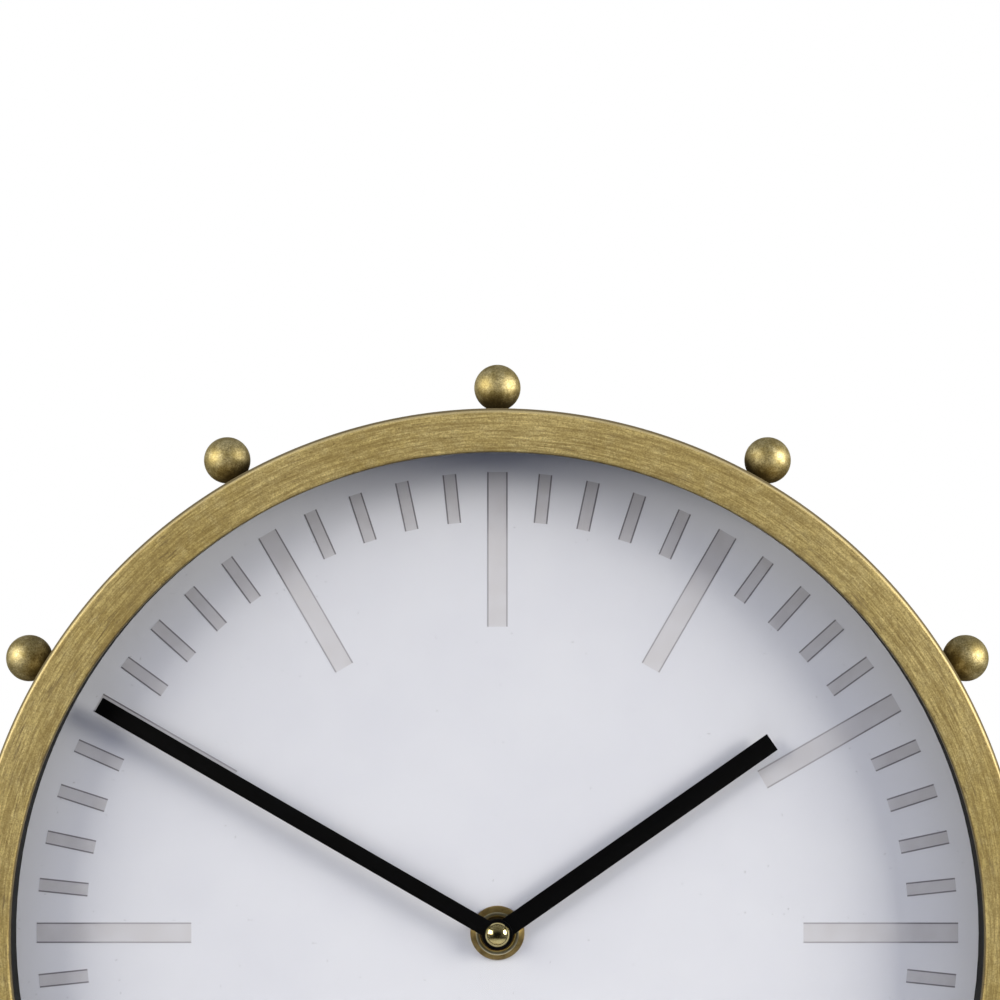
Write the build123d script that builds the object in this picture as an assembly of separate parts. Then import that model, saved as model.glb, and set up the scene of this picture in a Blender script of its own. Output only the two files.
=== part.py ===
from build123d import *

import os
from math import cos, degrees, radians, sin, sqrt

# A round table clock with a brushed brass rim. A pressed bezel ring holds a glass over a white paper dial,
# brass balls stand round the rim at the hours, and a turned stand carries the rim where the lowest ball
# would be. A battery movement behind the dial turns two black hands through a small gear train.
# Sizes are in millimetres. The clock is drawn face on: x to the right of the dial, y up the dial, z towards
# the viewer, with the hands' axis on z. The last section stands it upright with its feet on the ground.

# Bezel ring, pressed from sheet with a skirt outside and a lip inside
BEZEL_RADIUS = 140.5
BEZEL_FACE = 11.7
BEZEL_SHEET = 1.2
BEZEL_SKIRT = 38.5
BEZEL_LIP = 2.6
BEZEL_OUTER_ROUND = 2.2
BEZEL_INNER_ROUND = 1.6
BEND_ROUND_LEAST = 0.2

# Case band, a rolled drum with a flange inside its rear edge
BAND_SHEET = 1.2
BAND_FIT = 0.1
BAND_FRONT_GAP = 2.8
BAND_FLANGE = 10.0

# Glass, black spacer ring and dial
GLASS_THICKNESS = 2.0
GLASS_EDGE_GAP = 0.5
GLASS_CLEARANCE = 4.4
SPACER_INSET = 0.4
SPACER_WALL = 1.5
SPACER_FLANGE = 1.0
DIAL_SHEET = 0.3
DIAL_BOARD = 3.0
DIAL_EDGE_GAP = 0.7
DIAL_HOLE_GAP = 0.1

# Brackets inside the band that the dial board rests on
BRACKET_COUNT = 4
BRACKET_SHEET = 1.2
BRACKET_WIDTH = 18.0
BRACKET_REACH = 12.0
BRACKET_HEIGHT = 9.0
BRACKET_FIRST_ANGLE = 45.0

# Balls at the hours, each on a threaded stud that holds the skirt to the band, with a nut inside
HOURS = 12
BALL_RADIUS = 6.3
BALL_SEAT = 0.2
BALL_STUD_RADIUS = 1.5
BALL_STUD_TAIL = 0.8
BALL_HOLE_GAP = 0.1
BALL_NUT_FLATS = 5.5
BALL_NUT_HEIGHT = 2.4

# Rear cover, its window and its screws
COVER_SHEET = 1.2
COVER_RECESS = 5.5
COVER_GAP = 6.5
COVER_EDGE_GAP = 0.3
COVER_WINDOW_GAP = 3.0
COVER_WINDOW_ROUND = 4.0
COVER_SCREW_COUNT = 6
COVER_SCREW_FIRST_ANGLE = 15.0
COVER_SCREW_INSET = 5.0
COVER_SCREW_RADIUS = 1.4
COVER_SCREW_HEAD_RADIUS = 2.9
COVER_SCREW_HEAD_HEIGHT = 1.8
COVER_SCREW_HOLE_GAP = 0.3
COVER_SCREW_TAIL = 1.6

# Battery, one standard AA cell, and the room it needs
BATTERY_RADIUS = 7.25
BATTERY_LENGTH = 50.5
BATTERY_NUB_RADIUS = 2.75
BATTERY_NUB = 1.0
BATTERY_RIM_ROUND = 0.6
BATTERY_GAP = 0.3
BATTERY_END_ROOM = 1.35
CONTACT_SHEET = 0.4
CONTACT_WIDTH = 7.0
CONTACT_DEPTH = 9.0
CONTACT_TOUCH_GAP = 0.05
CONTACT_DIMPLE_RADIUS = 1.5

# Movement case, as wide as the battery needs, with the works above the battery
MOVEMENT_RISE = 28.0
WORKS_GAP = 2.6
CASE_WALL = 1.4
CASE_FLOOR = 1.5
CASE_HEIGHT = 15.5
CASE_COVER = 1.5
CASE_CORNER_ROUND = 3.0
CASE_DIVIDER = 1.2
PIVOT_BOSS_RADIUS = 1.2
CENTRE_BOSS_RADIUS = 2.0
POST_RADIUS = 1.3

# Bush, washer and nut that clamp the movement to the dial
BUSH_WALL = 1.35
BUSH_PROUD = 2.2
WASHER_THICKNESS = 1.0
WASHER_WIDTH = 7.0
DIAL_NUT_WALL = 1.9
DIAL_NUT_FLANGE = 1.4
DIAL_NUT_RIM = 0.6
DIAL_NUT_HEIGHT = 2.0

# Hands and what they sit on
RUNNING_GAP = 0.05
HAND_SHEET = 0.5
HAND_GAP = 0.3
HAND_SPACE = 0.5
MINUTE_ARBOR_RADIUS = 1.8
MINUTE_THREAD_SHOULDER = 0.4
MINUTE_TIP_GAP = 5.8
MINUTE_HAND_WIDTH = 4.4
MINUTE_HUB_LIP = 1.0
MINUTE_HAND_ANGLE = 300.0
HOUR_PIPE_WALL = 0.75
HOUR_HAND_SHARE = 0.73
HOUR_HAND_WIDTH = 5.1
HOUR_HUB_LIP = 0.9
HOUR_COLLET = 0.6
HOUR_COLLET_WALL = 1.2
HOUR_HAND_ANGLE = 55.0
CAP_WALL = 1.9
CAP_HEIGHT = 1.9
CAP_RIM = 0.2
CAP_SKIN = 0.4

# Gear train: tooth counts, modules, directions from arbor to arbor, and layers behind the movement's floor
TOOTH_TIP_SHARE = 0.8
TOOTH_ROOT_SHARE = 1.1
TOOTH_TIP_HALF_SHARE = 0.11
TOOTH_ROOT_HALF_SHARE = 0.24
WHEEL = 0.8
LAYER_GAP = 0.6
PINION_OVERHANG_SHARE = 1 / 3
HOUR_MODULE = 0.30
HOUR_TEETH = 40
MOTION_PINION_TEETH = 10
MOTION_TEETH = 36
CANNON_TEETH = 12
SETTING_TEETH = 12
CENTRE_MODULE = 0.25
CENTRE_TEETH = 60
THIRD_PINION_TEETH = 8
THIRD_MODULE = 0.25
THIRD_TEETH = 48
ROTOR_TEETH = 6
MOTION_DIRECTION = 0.0
SETTING_DIRECTION = 20.0
THIRD_DIRECTION = 100.0
ROTOR_DIRECTION = 180.0
MOTION_POST_RADIUS = 0.6
CENTRE_SEAT_RADIUS = 1.5
ARBOR_RADIUS = 0.5
ARBOR_TAIL_RADIUS = 0.8
PIVOT = 0.7
PIVOT_END_GAP = 0.2

# Stepping motor: rotor magnet, stator plate, bobbin and winding
MAGNET_RADIUS = 3.0
MAGNET_HEIGHT = 3.0
STATOR_SHEET = 1.0
STATOR_AIR_GAP = 0.7
STATOR_BRIDGE = 1.0
STATOR_HEIGHT = 23.0
STATOR_BAR = 4.0
CORE_WIDTH = 4.5
COIL_END_GAP = 1.0
COIL_CLEAR = 0.1
BOBBIN_WALL = 0.7
BOBBIN_FLANGE = 1.0
WINDING = 1.0
COIL_WALL_GAP = 0.3
BOBBIN_LIP = 0.2

# Circuit board with its chip and crystal
BOARD_WIDTH = 22.0
BOARD_LENGTH = 13.0
BOARD_SHEET = 1.2
BOARD_EDGE_GAP = 0.6
CHIP_RADIUS = 3.0
CHIP_HEIGHT = 0.9
CRYSTAL_RADIUS = 1.0
CRYSTAL_LENGTH = 6.0
CRYSTAL_EDGE = 3.0
BOARD_POST_INSET = 3.0

# Setting knob at the back
SETTING_SHAFT_RADIUS = 1.5
SETTING_PIVOT_RADIUS = 0.7
SETTING_BOSS_RADIUS = 1.6
KNOB_RADIUS = 6.0
KNOB_HEIGHT = 4.4
KNOB_GAP = 0.4
KNOB_GRIPS = 18
KNOB_GRIP_RADIUS = 0.6
KNOB_ROUND = 0.5

# Stand: flared post, weighted base, feet and fixings
POST_NECK_RADIUS = 13.0
POST_FLARE_ROUND = 12.0
POST_FOOT_LEDGE = 2.0
POST_FOOT_HEIGHT = 2.5
POST_HEIGHT = 26.0
BASE_RADIUS = 75.0
BASE_THICKNESS = 10.0
BASE_ROUND = 3.0
FOOT_COUNT = 4
FOOT_RADIUS = 8.0
FOOT_HEIGHT = 3.0
FOOT_RECESS = 1.0
FOOT_INSET = 15.0
FOOT_FIRST_ANGLE = 45.0
SADDLE_LENGTH = 28.0
SADDLE_DEPTH = 14.0
SADDLE_THICKNESS = 3.0
SADDLE_BOARD_GAP = 0.7
SADDLE_SCREW_SPREAD = 14.0
SADDLE_SCREW_RADIUS = 2.0
SADDLE_SCREW_HEAD_RADIUS = 3.7
SADDLE_SCREW_HEAD_HEIGHT = 2.4
SADDLE_SCREW_BITE = 10.0
BASE_BOLT_RADIUS = 3.0
BASE_BOLT_HEAD_RADIUS = 5.0
BASE_BOLT_HEAD_HEIGHT = 4.0
BASE_BOLT_SINK = 5.0
BASE_BOLT_BITE = 9.0
SCREW_HOLE_GAP = 0.3

# One overrun serves every cut that has to break through
OVERRUN = 2.0

# Depths, stacked from the cap of the hands to the glass and from the bezel to the back
hour_plate = BUSH_PROUD + HAND_GAP + HOUR_COLLET
minute_plate = hour_plate + HAND_SHEET + HAND_SPACE
cap_base = minute_plate + HAND_SHEET
glass_to_dial = cap_base + CAP_HEIGHT + GLASS_CLEARANCE
movement_depth = CASE_HEIGHT + CASE_COVER
front_stack = BEZEL_LIP + GLASS_THICKNESS + glass_to_dial
dial_stack = DIAL_SHEET + DIAL_BOARD + WASHER_THICKNESS
case_depth = front_stack + dial_stack + movement_depth + COVER_GAP + COVER_SHEET + COVER_RECESS

bezel_front = case_depth / 2
glass_front = bezel_front - BEZEL_LIP
glass_back = glass_front - GLASS_THICKNESS
dial_front = glass_back - glass_to_dial
board_front = dial_front - DIAL_SHEET
board_back = board_front - DIAL_BOARD
movement_front = board_back - WASHER_THICKNESS
floor_back = movement_front - CASE_FLOOR
wall_back = movement_front - CASE_HEIGHT
movement_back = movement_front - movement_depth
cover_front = movement_back - COVER_GAP
cover_back = cover_front - COVER_SHEET
case_back = -case_depth / 2

# Radii that follow from the bezel
bezel_opening = BEZEL_RADIUS - BEZEL_FACE
band_radius = BEZEL_RADIUS - BEZEL_SHEET - BAND_FIT
band_bore = band_radius - BAND_SHEET
band_front = bezel_front - BEZEL_SHEET - BAND_FRONT_GAP
skirt_back = bezel_front - BEZEL_SKIRT
spacer_bore = bezel_opening + SPACER_INSET
cover_screw_circle = band_bore - COVER_SCREW_INSET
ball_circle = BEZEL_RADIUS + BALL_RADIUS - BALL_SEAT
ball_depth = (bezel_front + case_back) / 2
minute_hand_length = bezel_opening - MINUTE_TIP_GAP
hour_hand_length = minute_hand_length * HOUR_HAND_SHARE

# Radii that fit into one another about the hands' axis
hour_pipe_bore = MINUTE_ARBOR_RADIUS + RUNNING_GAP
hour_pipe_radius = hour_pipe_bore + HOUR_PIPE_WALL
hour_collet_radius = hour_pipe_radius + HOUR_COLLET_WALL
bush_bore = hour_pipe_radius + RUNNING_GAP
bush_radius = bush_bore + BUSH_WALL
nut_top_radius = bush_radius + DIAL_NUT_WALL
minute_thread_radius = MINUTE_ARBOR_RADIUS - MINUTE_THREAD_SHOULDER
minute_thread_top = cap_base + CAP_HEIGHT - CAP_SKIN
cap_radius = minute_thread_radius + CAP_WALL

# Movement plan: the battery lies under the works, and the case is as wide as the battery needs
centre_tip = (CENTRE_TEETH / 2 + TOOTH_TIP_SHARE) * CENTRE_MODULE
divider_high = -centre_tip - WORKS_GAP
divider_low = divider_high - CASE_DIVIDER
battery_y = divider_low - BATTERY_GAP - BATTERY_RADIUS
battery_z = floor_back - BATTERY_GAP - BATTERY_RADIUS
inner_low = battery_y - BATTERY_RADIUS - BATTERY_GAP
inner_half = BATTERY_LENGTH / 2 + BATTERY_END_ROOM
inner_high = MOVEMENT_RISE - CASE_WALL
inner_middle = (inner_low + inner_high) / 2
movement_width = 2 * (inner_half + CASE_WALL)
movement_height = inner_high - inner_low + 2 * CASE_WALL

# Gear layers, counted from the floor, and centre distances
motion_distance = (HOUR_TEETH + MOTION_PINION_TEETH) * HOUR_MODULE / 2
motion_module = 2 * motion_distance / (MOTION_TEETH + CANNON_TEETH)
setting_distance = (MOTION_TEETH + SETTING_TEETH) * motion_module / 2
third_distance = (CENTRE_TEETH + THIRD_PINION_TEETH) * CENTRE_MODULE / 2
rotor_distance = (THIRD_TEETH + ROTOR_TEETH) * THIRD_MODULE / 2
pinion_overhang = LAYER_GAP * PINION_OVERHANG_SHARE
HOUR_LAYER, MOTION_LAYER, CENTRE_LAYER, THIRD_LAYER, MAGNET_LAYER = range(5)

# Stand, below the hands' axis
rim_low = -BEZEL_RADIUS
base_top = rim_low - POST_HEIGHT
base_low = base_top - BASE_THICKNESS
ground = base_low - (FOOT_HEIGHT - FOOT_RECESS)
post_foot_radius = POST_NECK_RADIUS + POST_FLARE_ROUND + POST_FOOT_LEDGE
saddle_z = board_back - SADDLE_BOARD_GAP - SADDLE_DEPTH / 2


def polar(radius, angle):
    """A point at a radius and an angle in degrees, counterclockwise from the right."""
    return (radius * cos(radians(angle)), radius * sin(radians(angle)))


def beside(place, distance, direction):
    """The point at a distance from a place, in a direction in degrees."""
    step = polar(distance, direction)
    return (place[0] + step[0], place[1] + step[1])


def layer_front(layer):
    """Front face of a gear layer behind the movement's floor."""
    return floor_back - LAYER_GAP - layer * (WHEEL + LAYER_GAP)


def slab(face, back, front):
    """A flat face in the dial's plane, given thickness from back to front."""
    return Pos(0, 0, back) * extrude(face, amount=front - back)


def disc(radius, back, front, place=(0, 0), bore=0):
    """A round slab about a place, with a bore where one is given."""
    face = Circle(radius) - Circle(bore) if bore else Circle(radius)
    return Pos(*place) * slab(face, back, front)


def block(low, high):
    """A box between two opposite corners."""
    size = [b - a for a, b in zip(low, high)]
    middle = [(a + b) / 2 for a, b in zip(low, high)]
    return Pos(*middle) * Box(*size)


def turned(points, rounds, arc=360):
    """A profile of (radius, z) points, with a round for each corner, turned about the hands' axis."""
    profile = Plane.XZ * make_face(FilletPolyline(*points, radius=rounds, close=True))
    return revolve(profile, Axis.Z, revolution_arc=arc)


def turned_upright(points, rounds):
    """A profile of (radius, y) points, with a round for each corner, turned about the stand's axis."""
    profile = make_face(FilletPolyline(*points, radius=rounds, close=True))
    return revolve(profile, Axis.Y)


def at_clock(angle, shape):
    """A shape drawn at twelve, turned clockwise about the hands' axis."""
    return Rot(0, 0, -angle) * shape


def upright_rod(radius, low, high, x=0, z=0):
    """A round rod along y, between two heights."""
    return Pos(x, (low + high) / 2, z) * Rot(90, 0, 0) * Cylinder(radius, high - low)


def sideways_rod(radius, left, right, y, z):
    """A round rod along x, between two sides."""
    return Pos((left + right) / 2, y, z) * Rot(0, 90, 0) * Cylinder(radius, right - left)


def gear(teeth, module, phase, back, front, bore=0):
    """A flat gear with straight-sided teeth, one of them pointing along phase, in degrees."""
    pitch_radius = teeth * module / 2
    tip = pitch_radius + TOOTH_TIP_SHARE * module
    root = pitch_radius - TOOTH_ROOT_SHARE * module
    step = 360 / teeth
    flank = (
        (root, -TOOTH_ROOT_HALF_SHARE),
        (tip, -TOOTH_TIP_HALF_SHARE),
        (tip, TOOTH_TIP_HALF_SHARE),
        (root, TOOTH_ROOT_HALF_SHARE),
    )
    outline = [polar(r, phase + (i + half) * step) for i in range(teeth) for r, half in flank]
    face = make_face(Polyline(*outline, close=True))
    return slab(face - Circle(bore) if bore else face, back, front)


def mesh_phase(phase, teeth, other_teeth, direction):
    """Phase of the gear that meshes with a given one and lies in a direction from it."""
    return direction + 180 + 180 / other_teeth - (phase - direction) * teeth / other_teeth


def bezel_ring():
    inner_bend = max(BEZEL_INNER_ROUND - BEZEL_SHEET, BEND_ROUND_LEAST)
    outer_bend = max(BEZEL_OUTER_ROUND - BEZEL_SHEET, BEND_ROUND_LEAST)
    plate_back = bezel_front - BEZEL_SHEET
    points = (
        (bezel_opening, glass_front),
        (bezel_opening, bezel_front),
        (BEZEL_RADIUS, bezel_front),
        (BEZEL_RADIUS, skirt_back),
        (BEZEL_RADIUS - BEZEL_SHEET, skirt_back),
        (BEZEL_RADIUS - BEZEL_SHEET, plate_back),
        (bezel_opening + BEZEL_SHEET, plate_back),
        (bezel_opening + BEZEL_SHEET, glass_front),
    )
    rounds = (0, BEZEL_INNER_ROUND, BEZEL_OUTER_ROUND, 0, 0, outer_bend, inner_bend, 0)
    return turned(points, rounds) - ball_holes() - saddle_holes()


def ball_hours():
    """The hours that carry a ball: all but the lowest, where the stand is."""
    return [hour for hour in range(1, HOURS + 1) if hour != HOURS // 2]


def hour_angle(hour):
    return hour * 360 / HOURS


def ball_holes():
    """The holes for the studs of the balls, through the skirt and the band."""
    radius = BALL_STUD_RADIUS + BALL_HOLE_GAP
    hole = upright_rod(radius, band_bore - OVERRUN, BEZEL_RADIUS + OVERRUN, z=ball_depth)
    return [at_clock(hour_angle(hour), hole) for hour in ball_hours()]


def cover_screw_places():
    step = 360 / COVER_SCREW_COUNT
    return [polar(cover_screw_circle, COVER_SCREW_FIRST_ANGLE + i * step) for i in range(COVER_SCREW_COUNT)]


def saddle_screw_sides():
    return (-SADDLE_SCREW_SPREAD / 2, SADDLE_SCREW_SPREAD / 2)


def saddle_holes():
    """The holes for the saddle screws, through the skirt and the band."""
    radius = SADDLE_SCREW_RADIUS + SCREW_HOLE_GAP
    hole = upright_rod(radius, rim_low - OVERRUN, -band_bore + OVERRUN, z=saddle_z)
    return [Pos(x, 0, 0) * hole for x in saddle_screw_sides()]


def case_band():
    drum = disc(band_radius, case_back, band_front, bore=band_bore)
    drum += disc(band_bore, cover_front, cover_front + BAND_SHEET, bore=band_bore - BAND_FLANGE)
    for place in cover_screw_places():
        drum -= disc(COVER_SCREW_RADIUS, cover_front - OVERRUN, cover_front + BAND_SHEET + OVERRUN, place)
    return drum - ball_holes() - saddle_holes()


def glass_spacer():
    wall = spacer_bore + SPACER_WALL
    edge = band_bore - GLASS_EDGE_GAP
    points = (
        (spacer_bore, dial_front),
        (edge, dial_front),
        (edge, dial_front + SPACER_FLANGE),
        (wall, dial_front + SPACER_FLANGE),
        (wall, glass_back),
        (spacer_bore, glass_back),
    )
    return turned(points, (0,) * len(points))


def dial_brackets():
    flange_back = board_back - BRACKET_SHEET
    foot_back = board_back - BRACKET_HEIGHT
    points = (
        (band_bore, board_back),
        (band_bore - BRACKET_REACH, board_back),
        (band_bore - BRACKET_REACH, flange_back),
        (band_bore - BRACKET_SHEET, flange_back),
        (band_bore - BRACKET_SHEET, foot_back),
        (band_bore, foot_back),
    )
    arc = degrees(BRACKET_WIDTH / band_bore)
    one = Rot(0, 0, -arc / 2) * turned(points, (0,) * len(points), arc)
    step = 360 / BRACKET_COUNT
    return Part() + [Rot(0, 0, BRACKET_FIRST_ANGLE + i * step) * one for i in range(BRACKET_COUNT)]


def nut_seat():
    """Radius where a flat nut meets the band's round wall at its corners."""
    corner = BALL_NUT_FLATS / sqrt(3)
    return sqrt(band_bore**2 - corner**2)


def rim_ball(hour):
    ball = Pos(0, ball_circle, ball_depth) * Sphere(BALL_RADIUS)
    ball -= disc(BEZEL_RADIUS, ball_depth - BALL_RADIUS, ball_depth + BALL_RADIUS)
    stud_end = nut_seat() - BALL_NUT_HEIGHT - BALL_STUD_TAIL
    ball += upright_rod(BALL_STUD_RADIUS, stud_end, ball_circle, z=ball_depth)
    return at_clock(hour_angle(hour), ball)


def ball_nuts():
    corner = BALL_NUT_FLATS / sqrt(3)
    face = RegularPolygon(corner, 6) - Circle(BALL_STUD_RADIUS)
    nut = Pos(0, nut_seat(), ball_depth) * Rot(90, 0, 0) * extrude(face, amount=BALL_NUT_HEIGHT)
    return Part() + [at_clock(hour_angle(hour), nut) for hour in ball_hours()]


def rear_cover():
    width = movement_width + 2 * COVER_WINDOW_GAP
    height = movement_height + 2 * COVER_WINDOW_GAP
    window = Pos(0, inner_middle) * RectangleRounded(width, height, COVER_WINDOW_ROUND)
    face = Circle(band_bore - COVER_EDGE_GAP) - window
    for place in cover_screw_places():
        face -= Pos(*place) * Circle(COVER_SCREW_RADIUS + COVER_SCREW_HOLE_GAP)
    return slab(face, cover_back, cover_front)


def rear_cover_screws():
    head_back = cover_back - COVER_SCREW_HEAD_HEIGHT
    tip = cover_front + BAND_SHEET + COVER_SCREW_TAIL
    head = disc(COVER_SCREW_HEAD_RADIUS, head_back, cover_back)
    head = fillet(head.edges().group_by(Axis.Z)[0], COVER_SCREW_HEAD_HEIGHT / 2)
    slot = block(
        (-COVER_SCREW_HEAD_RADIUS, -COVER_SCREW_RADIUS / 4, head_back),
        (COVER_SCREW_HEAD_RADIUS, COVER_SCREW_RADIUS / 4, head_back + COVER_SCREW_HEAD_HEIGHT / 3),
    )
    screw = head + disc(COVER_SCREW_RADIUS, cover_back, tip) - slot - Rot(0, 0, 90) * slot
    return Part() + [Pos(*place) * screw for place in cover_screw_places()]


# Places of the arbors in the movement
CENTRE = (0, 0)
motion_place = beside(CENTRE, motion_distance, MOTION_DIRECTION)
setting_place = beside(motion_place, setting_distance, SETTING_DIRECTION)
third_place = beside(CENTRE, third_distance, THIRD_DIRECTION)
rotor_place = beside(third_place, rotor_distance, ROTOR_DIRECTION)

# Phases of the gears, so that every pair is in mesh at rest
cannon_phase = MOTION_DIRECTION
motion_phase = mesh_phase(cannon_phase, CANNON_TEETH, MOTION_TEETH, MOTION_DIRECTION)
motion_pinion_phase = MOTION_DIRECTION
hour_phase = mesh_phase(motion_pinion_phase, MOTION_PINION_TEETH, HOUR_TEETH, MOTION_DIRECTION + 180)
setting_phase = mesh_phase(motion_phase, MOTION_TEETH, SETTING_TEETH, SETTING_DIRECTION)
centre_phase = THIRD_DIRECTION
third_pinion_phase = mesh_phase(centre_phase, CENTRE_TEETH, THIRD_PINION_TEETH, THIRD_DIRECTION)
third_phase = ROTOR_DIRECTION
rotor_phase = mesh_phase(third_phase, THIRD_TEETH, ROTOR_TEETH, ROTOR_DIRECTION)

# Depths of pivots and motor in the movement
magnet_front = layer_front(MAGNET_LAYER)
magnet_back = magnet_front - MAGNET_HEIGHT
stator_front = (magnet_front + magnet_back + STATOR_SHEET) / 2
stator_back = stator_front - STATOR_SHEET
third_pivot_front = layer_front(CENTRE_LAYER) + LAYER_GAP
third_pivot_back = layer_front(THIRD_LAYER) - WHEEL - LAYER_GAP
rotor_pivot_front = layer_front(THIRD_LAYER) + LAYER_GAP
rotor_pivot_back = magnet_back - LAYER_GAP
centre_pivot_back = layer_front(THIRD_LAYER) - WHEEL - LAYER_GAP

# Motor plan
stator_hole = MAGNET_RADIUS + STATOR_AIR_GAP
stator_right = rotor_place[0] + stator_hole + STATOR_BRIDGE
limb_left = rotor_place[0] - stator_hole - STATOR_BRIDGE
stator_low = rotor_place[1] - STATOR_HEIGHT / 2
stator_high = rotor_place[1] + STATOR_HEIGHT / 2
coil_wrap = COIL_CLEAR + BOBBIN_WALL + WINDING
bobbin_left = -inner_half + COIL_WALL_GAP
core_left = bobbin_left + BOBBIN_LIP + coil_wrap
core_right = core_left + CORE_WIDTH
coil_low = stator_low + STATOR_BAR + COIL_END_GAP
coil_high = stator_high - STATOR_BAR - COIL_END_GAP

# Circuit board plan
board_right = inner_half - BOARD_EDGE_GAP
board_left = board_right - BOARD_WIDTH
board_high = inner_high - BOARD_EDGE_GAP
board_low = board_high - BOARD_LENGTH


def board_posts():
    return (
        (board_left + BOARD_POST_INSET, board_high - BOARD_POST_INSET),
        (board_right - BOARD_POST_INSET, board_high - BOARD_POST_INSET),
    )


def stator_posts():
    x = (core_left + core_right) / 2
    return (
        (x, stator_low + STATOR_BAR / 2),
        (x, stator_high - STATOR_BAR / 2),
        (limb_left, stator_high - STATOR_BAR / 2),
    )


def pivot_boss(place, root, top, radius, bore):
    """A round boss from a plate at root to top, with a blind hole a little deeper than the pivot."""
    toward = 1 if top > root else -1
    hole = top - toward * (PIVOT + PIVOT_END_GAP)
    low, high = sorted((root, top))
    hole_low, hole_high = sorted((hole, top))
    return disc(radius, low, high, place) - disc(bore, hole_low, hole_high, place)


def movement_outline():
    outline = RectangleRounded(movement_width, movement_height, CASE_CORNER_ROUND)
    return Pos(0, inner_middle) * outline


def movement_case():
    outside = movement_outline()
    inside = Pos(0, inner_middle) * Rectangle(2 * inner_half, inner_high - inner_low)
    shell = slab(outside, floor_back, movement_front) + slab(outside - inside, wall_back, floor_back)
    shell += block((-inner_half, divider_low, wall_back), (inner_half, divider_high, floor_back))
    shell -= disc(bush_radius, floor_back - OVERRUN, movement_front + OVERRUN)
    shell += disc(MOTION_POST_RADIUS, layer_front(MOTION_LAYER) - WHEEL, floor_back, motion_place)
    third_bore = ARBOR_RADIUS + RUNNING_GAP
    shell += pivot_boss(third_place, floor_back, third_pivot_front, PIVOT_BOSS_RADIUS, third_bore)
    shell += pivot_boss(rotor_place, floor_back, rotor_pivot_front, PIVOT_BOSS_RADIUS, third_bore)
    setting_top = layer_front(MOTION_LAYER) + LAYER_GAP
    setting_bore = SETTING_PIVOT_RADIUS + RUNNING_GAP
    shell += pivot_boss(setting_place, floor_back, setting_top, SETTING_BOSS_RADIUS, setting_bore)
    for place in stator_posts() + board_posts():
        shell += disc(POST_RADIUS, stator_front, floor_back, place)
    return shell


def movement_cover():
    works_middle = (divider_low + MOVEMENT_RISE) / 2
    works = Pos(0, works_middle) * Rectangle(movement_width, MOVEMENT_RISE - divider_low)
    plate = slab(movement_outline() & works, movement_back, wall_back)
    shaft_hole = SETTING_SHAFT_RADIUS + RUNNING_GAP
    plate -= disc(shaft_hole, movement_back - OVERRUN, wall_back + OVERRUN, setting_place)
    arbor_bore = ARBOR_RADIUS + RUNNING_GAP
    tail_bore = ARBOR_TAIL_RADIUS + RUNNING_GAP
    plate += pivot_boss(CENTRE, wall_back, centre_pivot_back, CENTRE_BOSS_RADIUS, tail_bore)
    plate += pivot_boss(third_place, wall_back, third_pivot_back, PIVOT_BOSS_RADIUS, arbor_bore)
    plate += pivot_boss(rotor_place, wall_back, rotor_pivot_back, PIVOT_BOSS_RADIUS, arbor_bore)
    return plate


def dial_nut():
    flange_radius = nut_top_radius + DIAL_NUT_FLANGE
    points = (
        (bush_radius, dial_front),
        (flange_radius, dial_front),
        (flange_radius, dial_front + DIAL_NUT_RIM),
        (nut_top_radius, dial_front + DIAL_NUT_HEIGHT),
        (bush_radius, dial_front + DIAL_NUT_HEIGHT),
    )
    edge_round = DIAL_NUT_RIM / 3
    return turned(points, (0, 0, edge_round, edge_round, 0))


def hand(length, width, hub_radius, bore, back):
    """A flat straight hand pointing at twelve, with a round hub."""
    face = Circle(hub_radius) + Pos(0, length / 2) * Rectangle(width, length) - Circle(bore)
    return slab(face, back, back + HAND_SHEET)


def hour_hand():
    plate = dial_front + hour_plate
    hub = hour_collet_radius + HOUR_HUB_LIP
    shape = hand(hour_hand_length, HOUR_HAND_WIDTH, hub, hour_pipe_radius, plate)
    shape += disc(hour_collet_radius, plate - HOUR_COLLET, plate, bore=hour_pipe_radius)
    return at_clock(HOUR_HAND_ANGLE, shape)


def minute_hand():
    plate = dial_front + minute_plate
    hub = cap_radius + MINUTE_HUB_LIP
    shape = hand(minute_hand_length, MINUTE_HAND_WIDTH, hub, minute_thread_radius, plate)
    return at_clock(MINUTE_HAND_ANGLE, shape)


def hand_cap():
    base = dial_front + cap_base
    top = base + CAP_HEIGHT
    dome = CAP_HEIGHT - CAP_RIM
    dome_radius = (cap_radius**2 + dome**2) / (2 * dome)
    cap = disc(cap_radius, base, top) & Pos(0, 0, top - dome_radius) * Sphere(dome_radius)
    return cap - disc(minute_thread_radius, base, dial_front + minute_thread_top)


def hour_wheel():
    front = layer_front(HOUR_LAYER)
    plate_front = dial_front + hour_plate + HAND_SHEET
    wheel = gear(HOUR_TEETH, HOUR_MODULE, hour_phase, front - WHEEL, front, hour_pipe_bore)
    return wheel + disc(hour_pipe_radius, front, plate_front, bore=hour_pipe_bore)


def motion_wheel():
    front = layer_front(MOTION_LAYER)
    bore = MOTION_POST_RADIUS + RUNNING_GAP
    wheel = gear(MOTION_TEETH, motion_module, motion_phase, front - WHEEL, front, bore)
    wheel += gear(MOTION_PINION_TEETH, HOUR_MODULE, motion_pinion_phase, front, layer_front(HOUR_LAYER), bore)
    return Pos(*motion_place) * wheel


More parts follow.
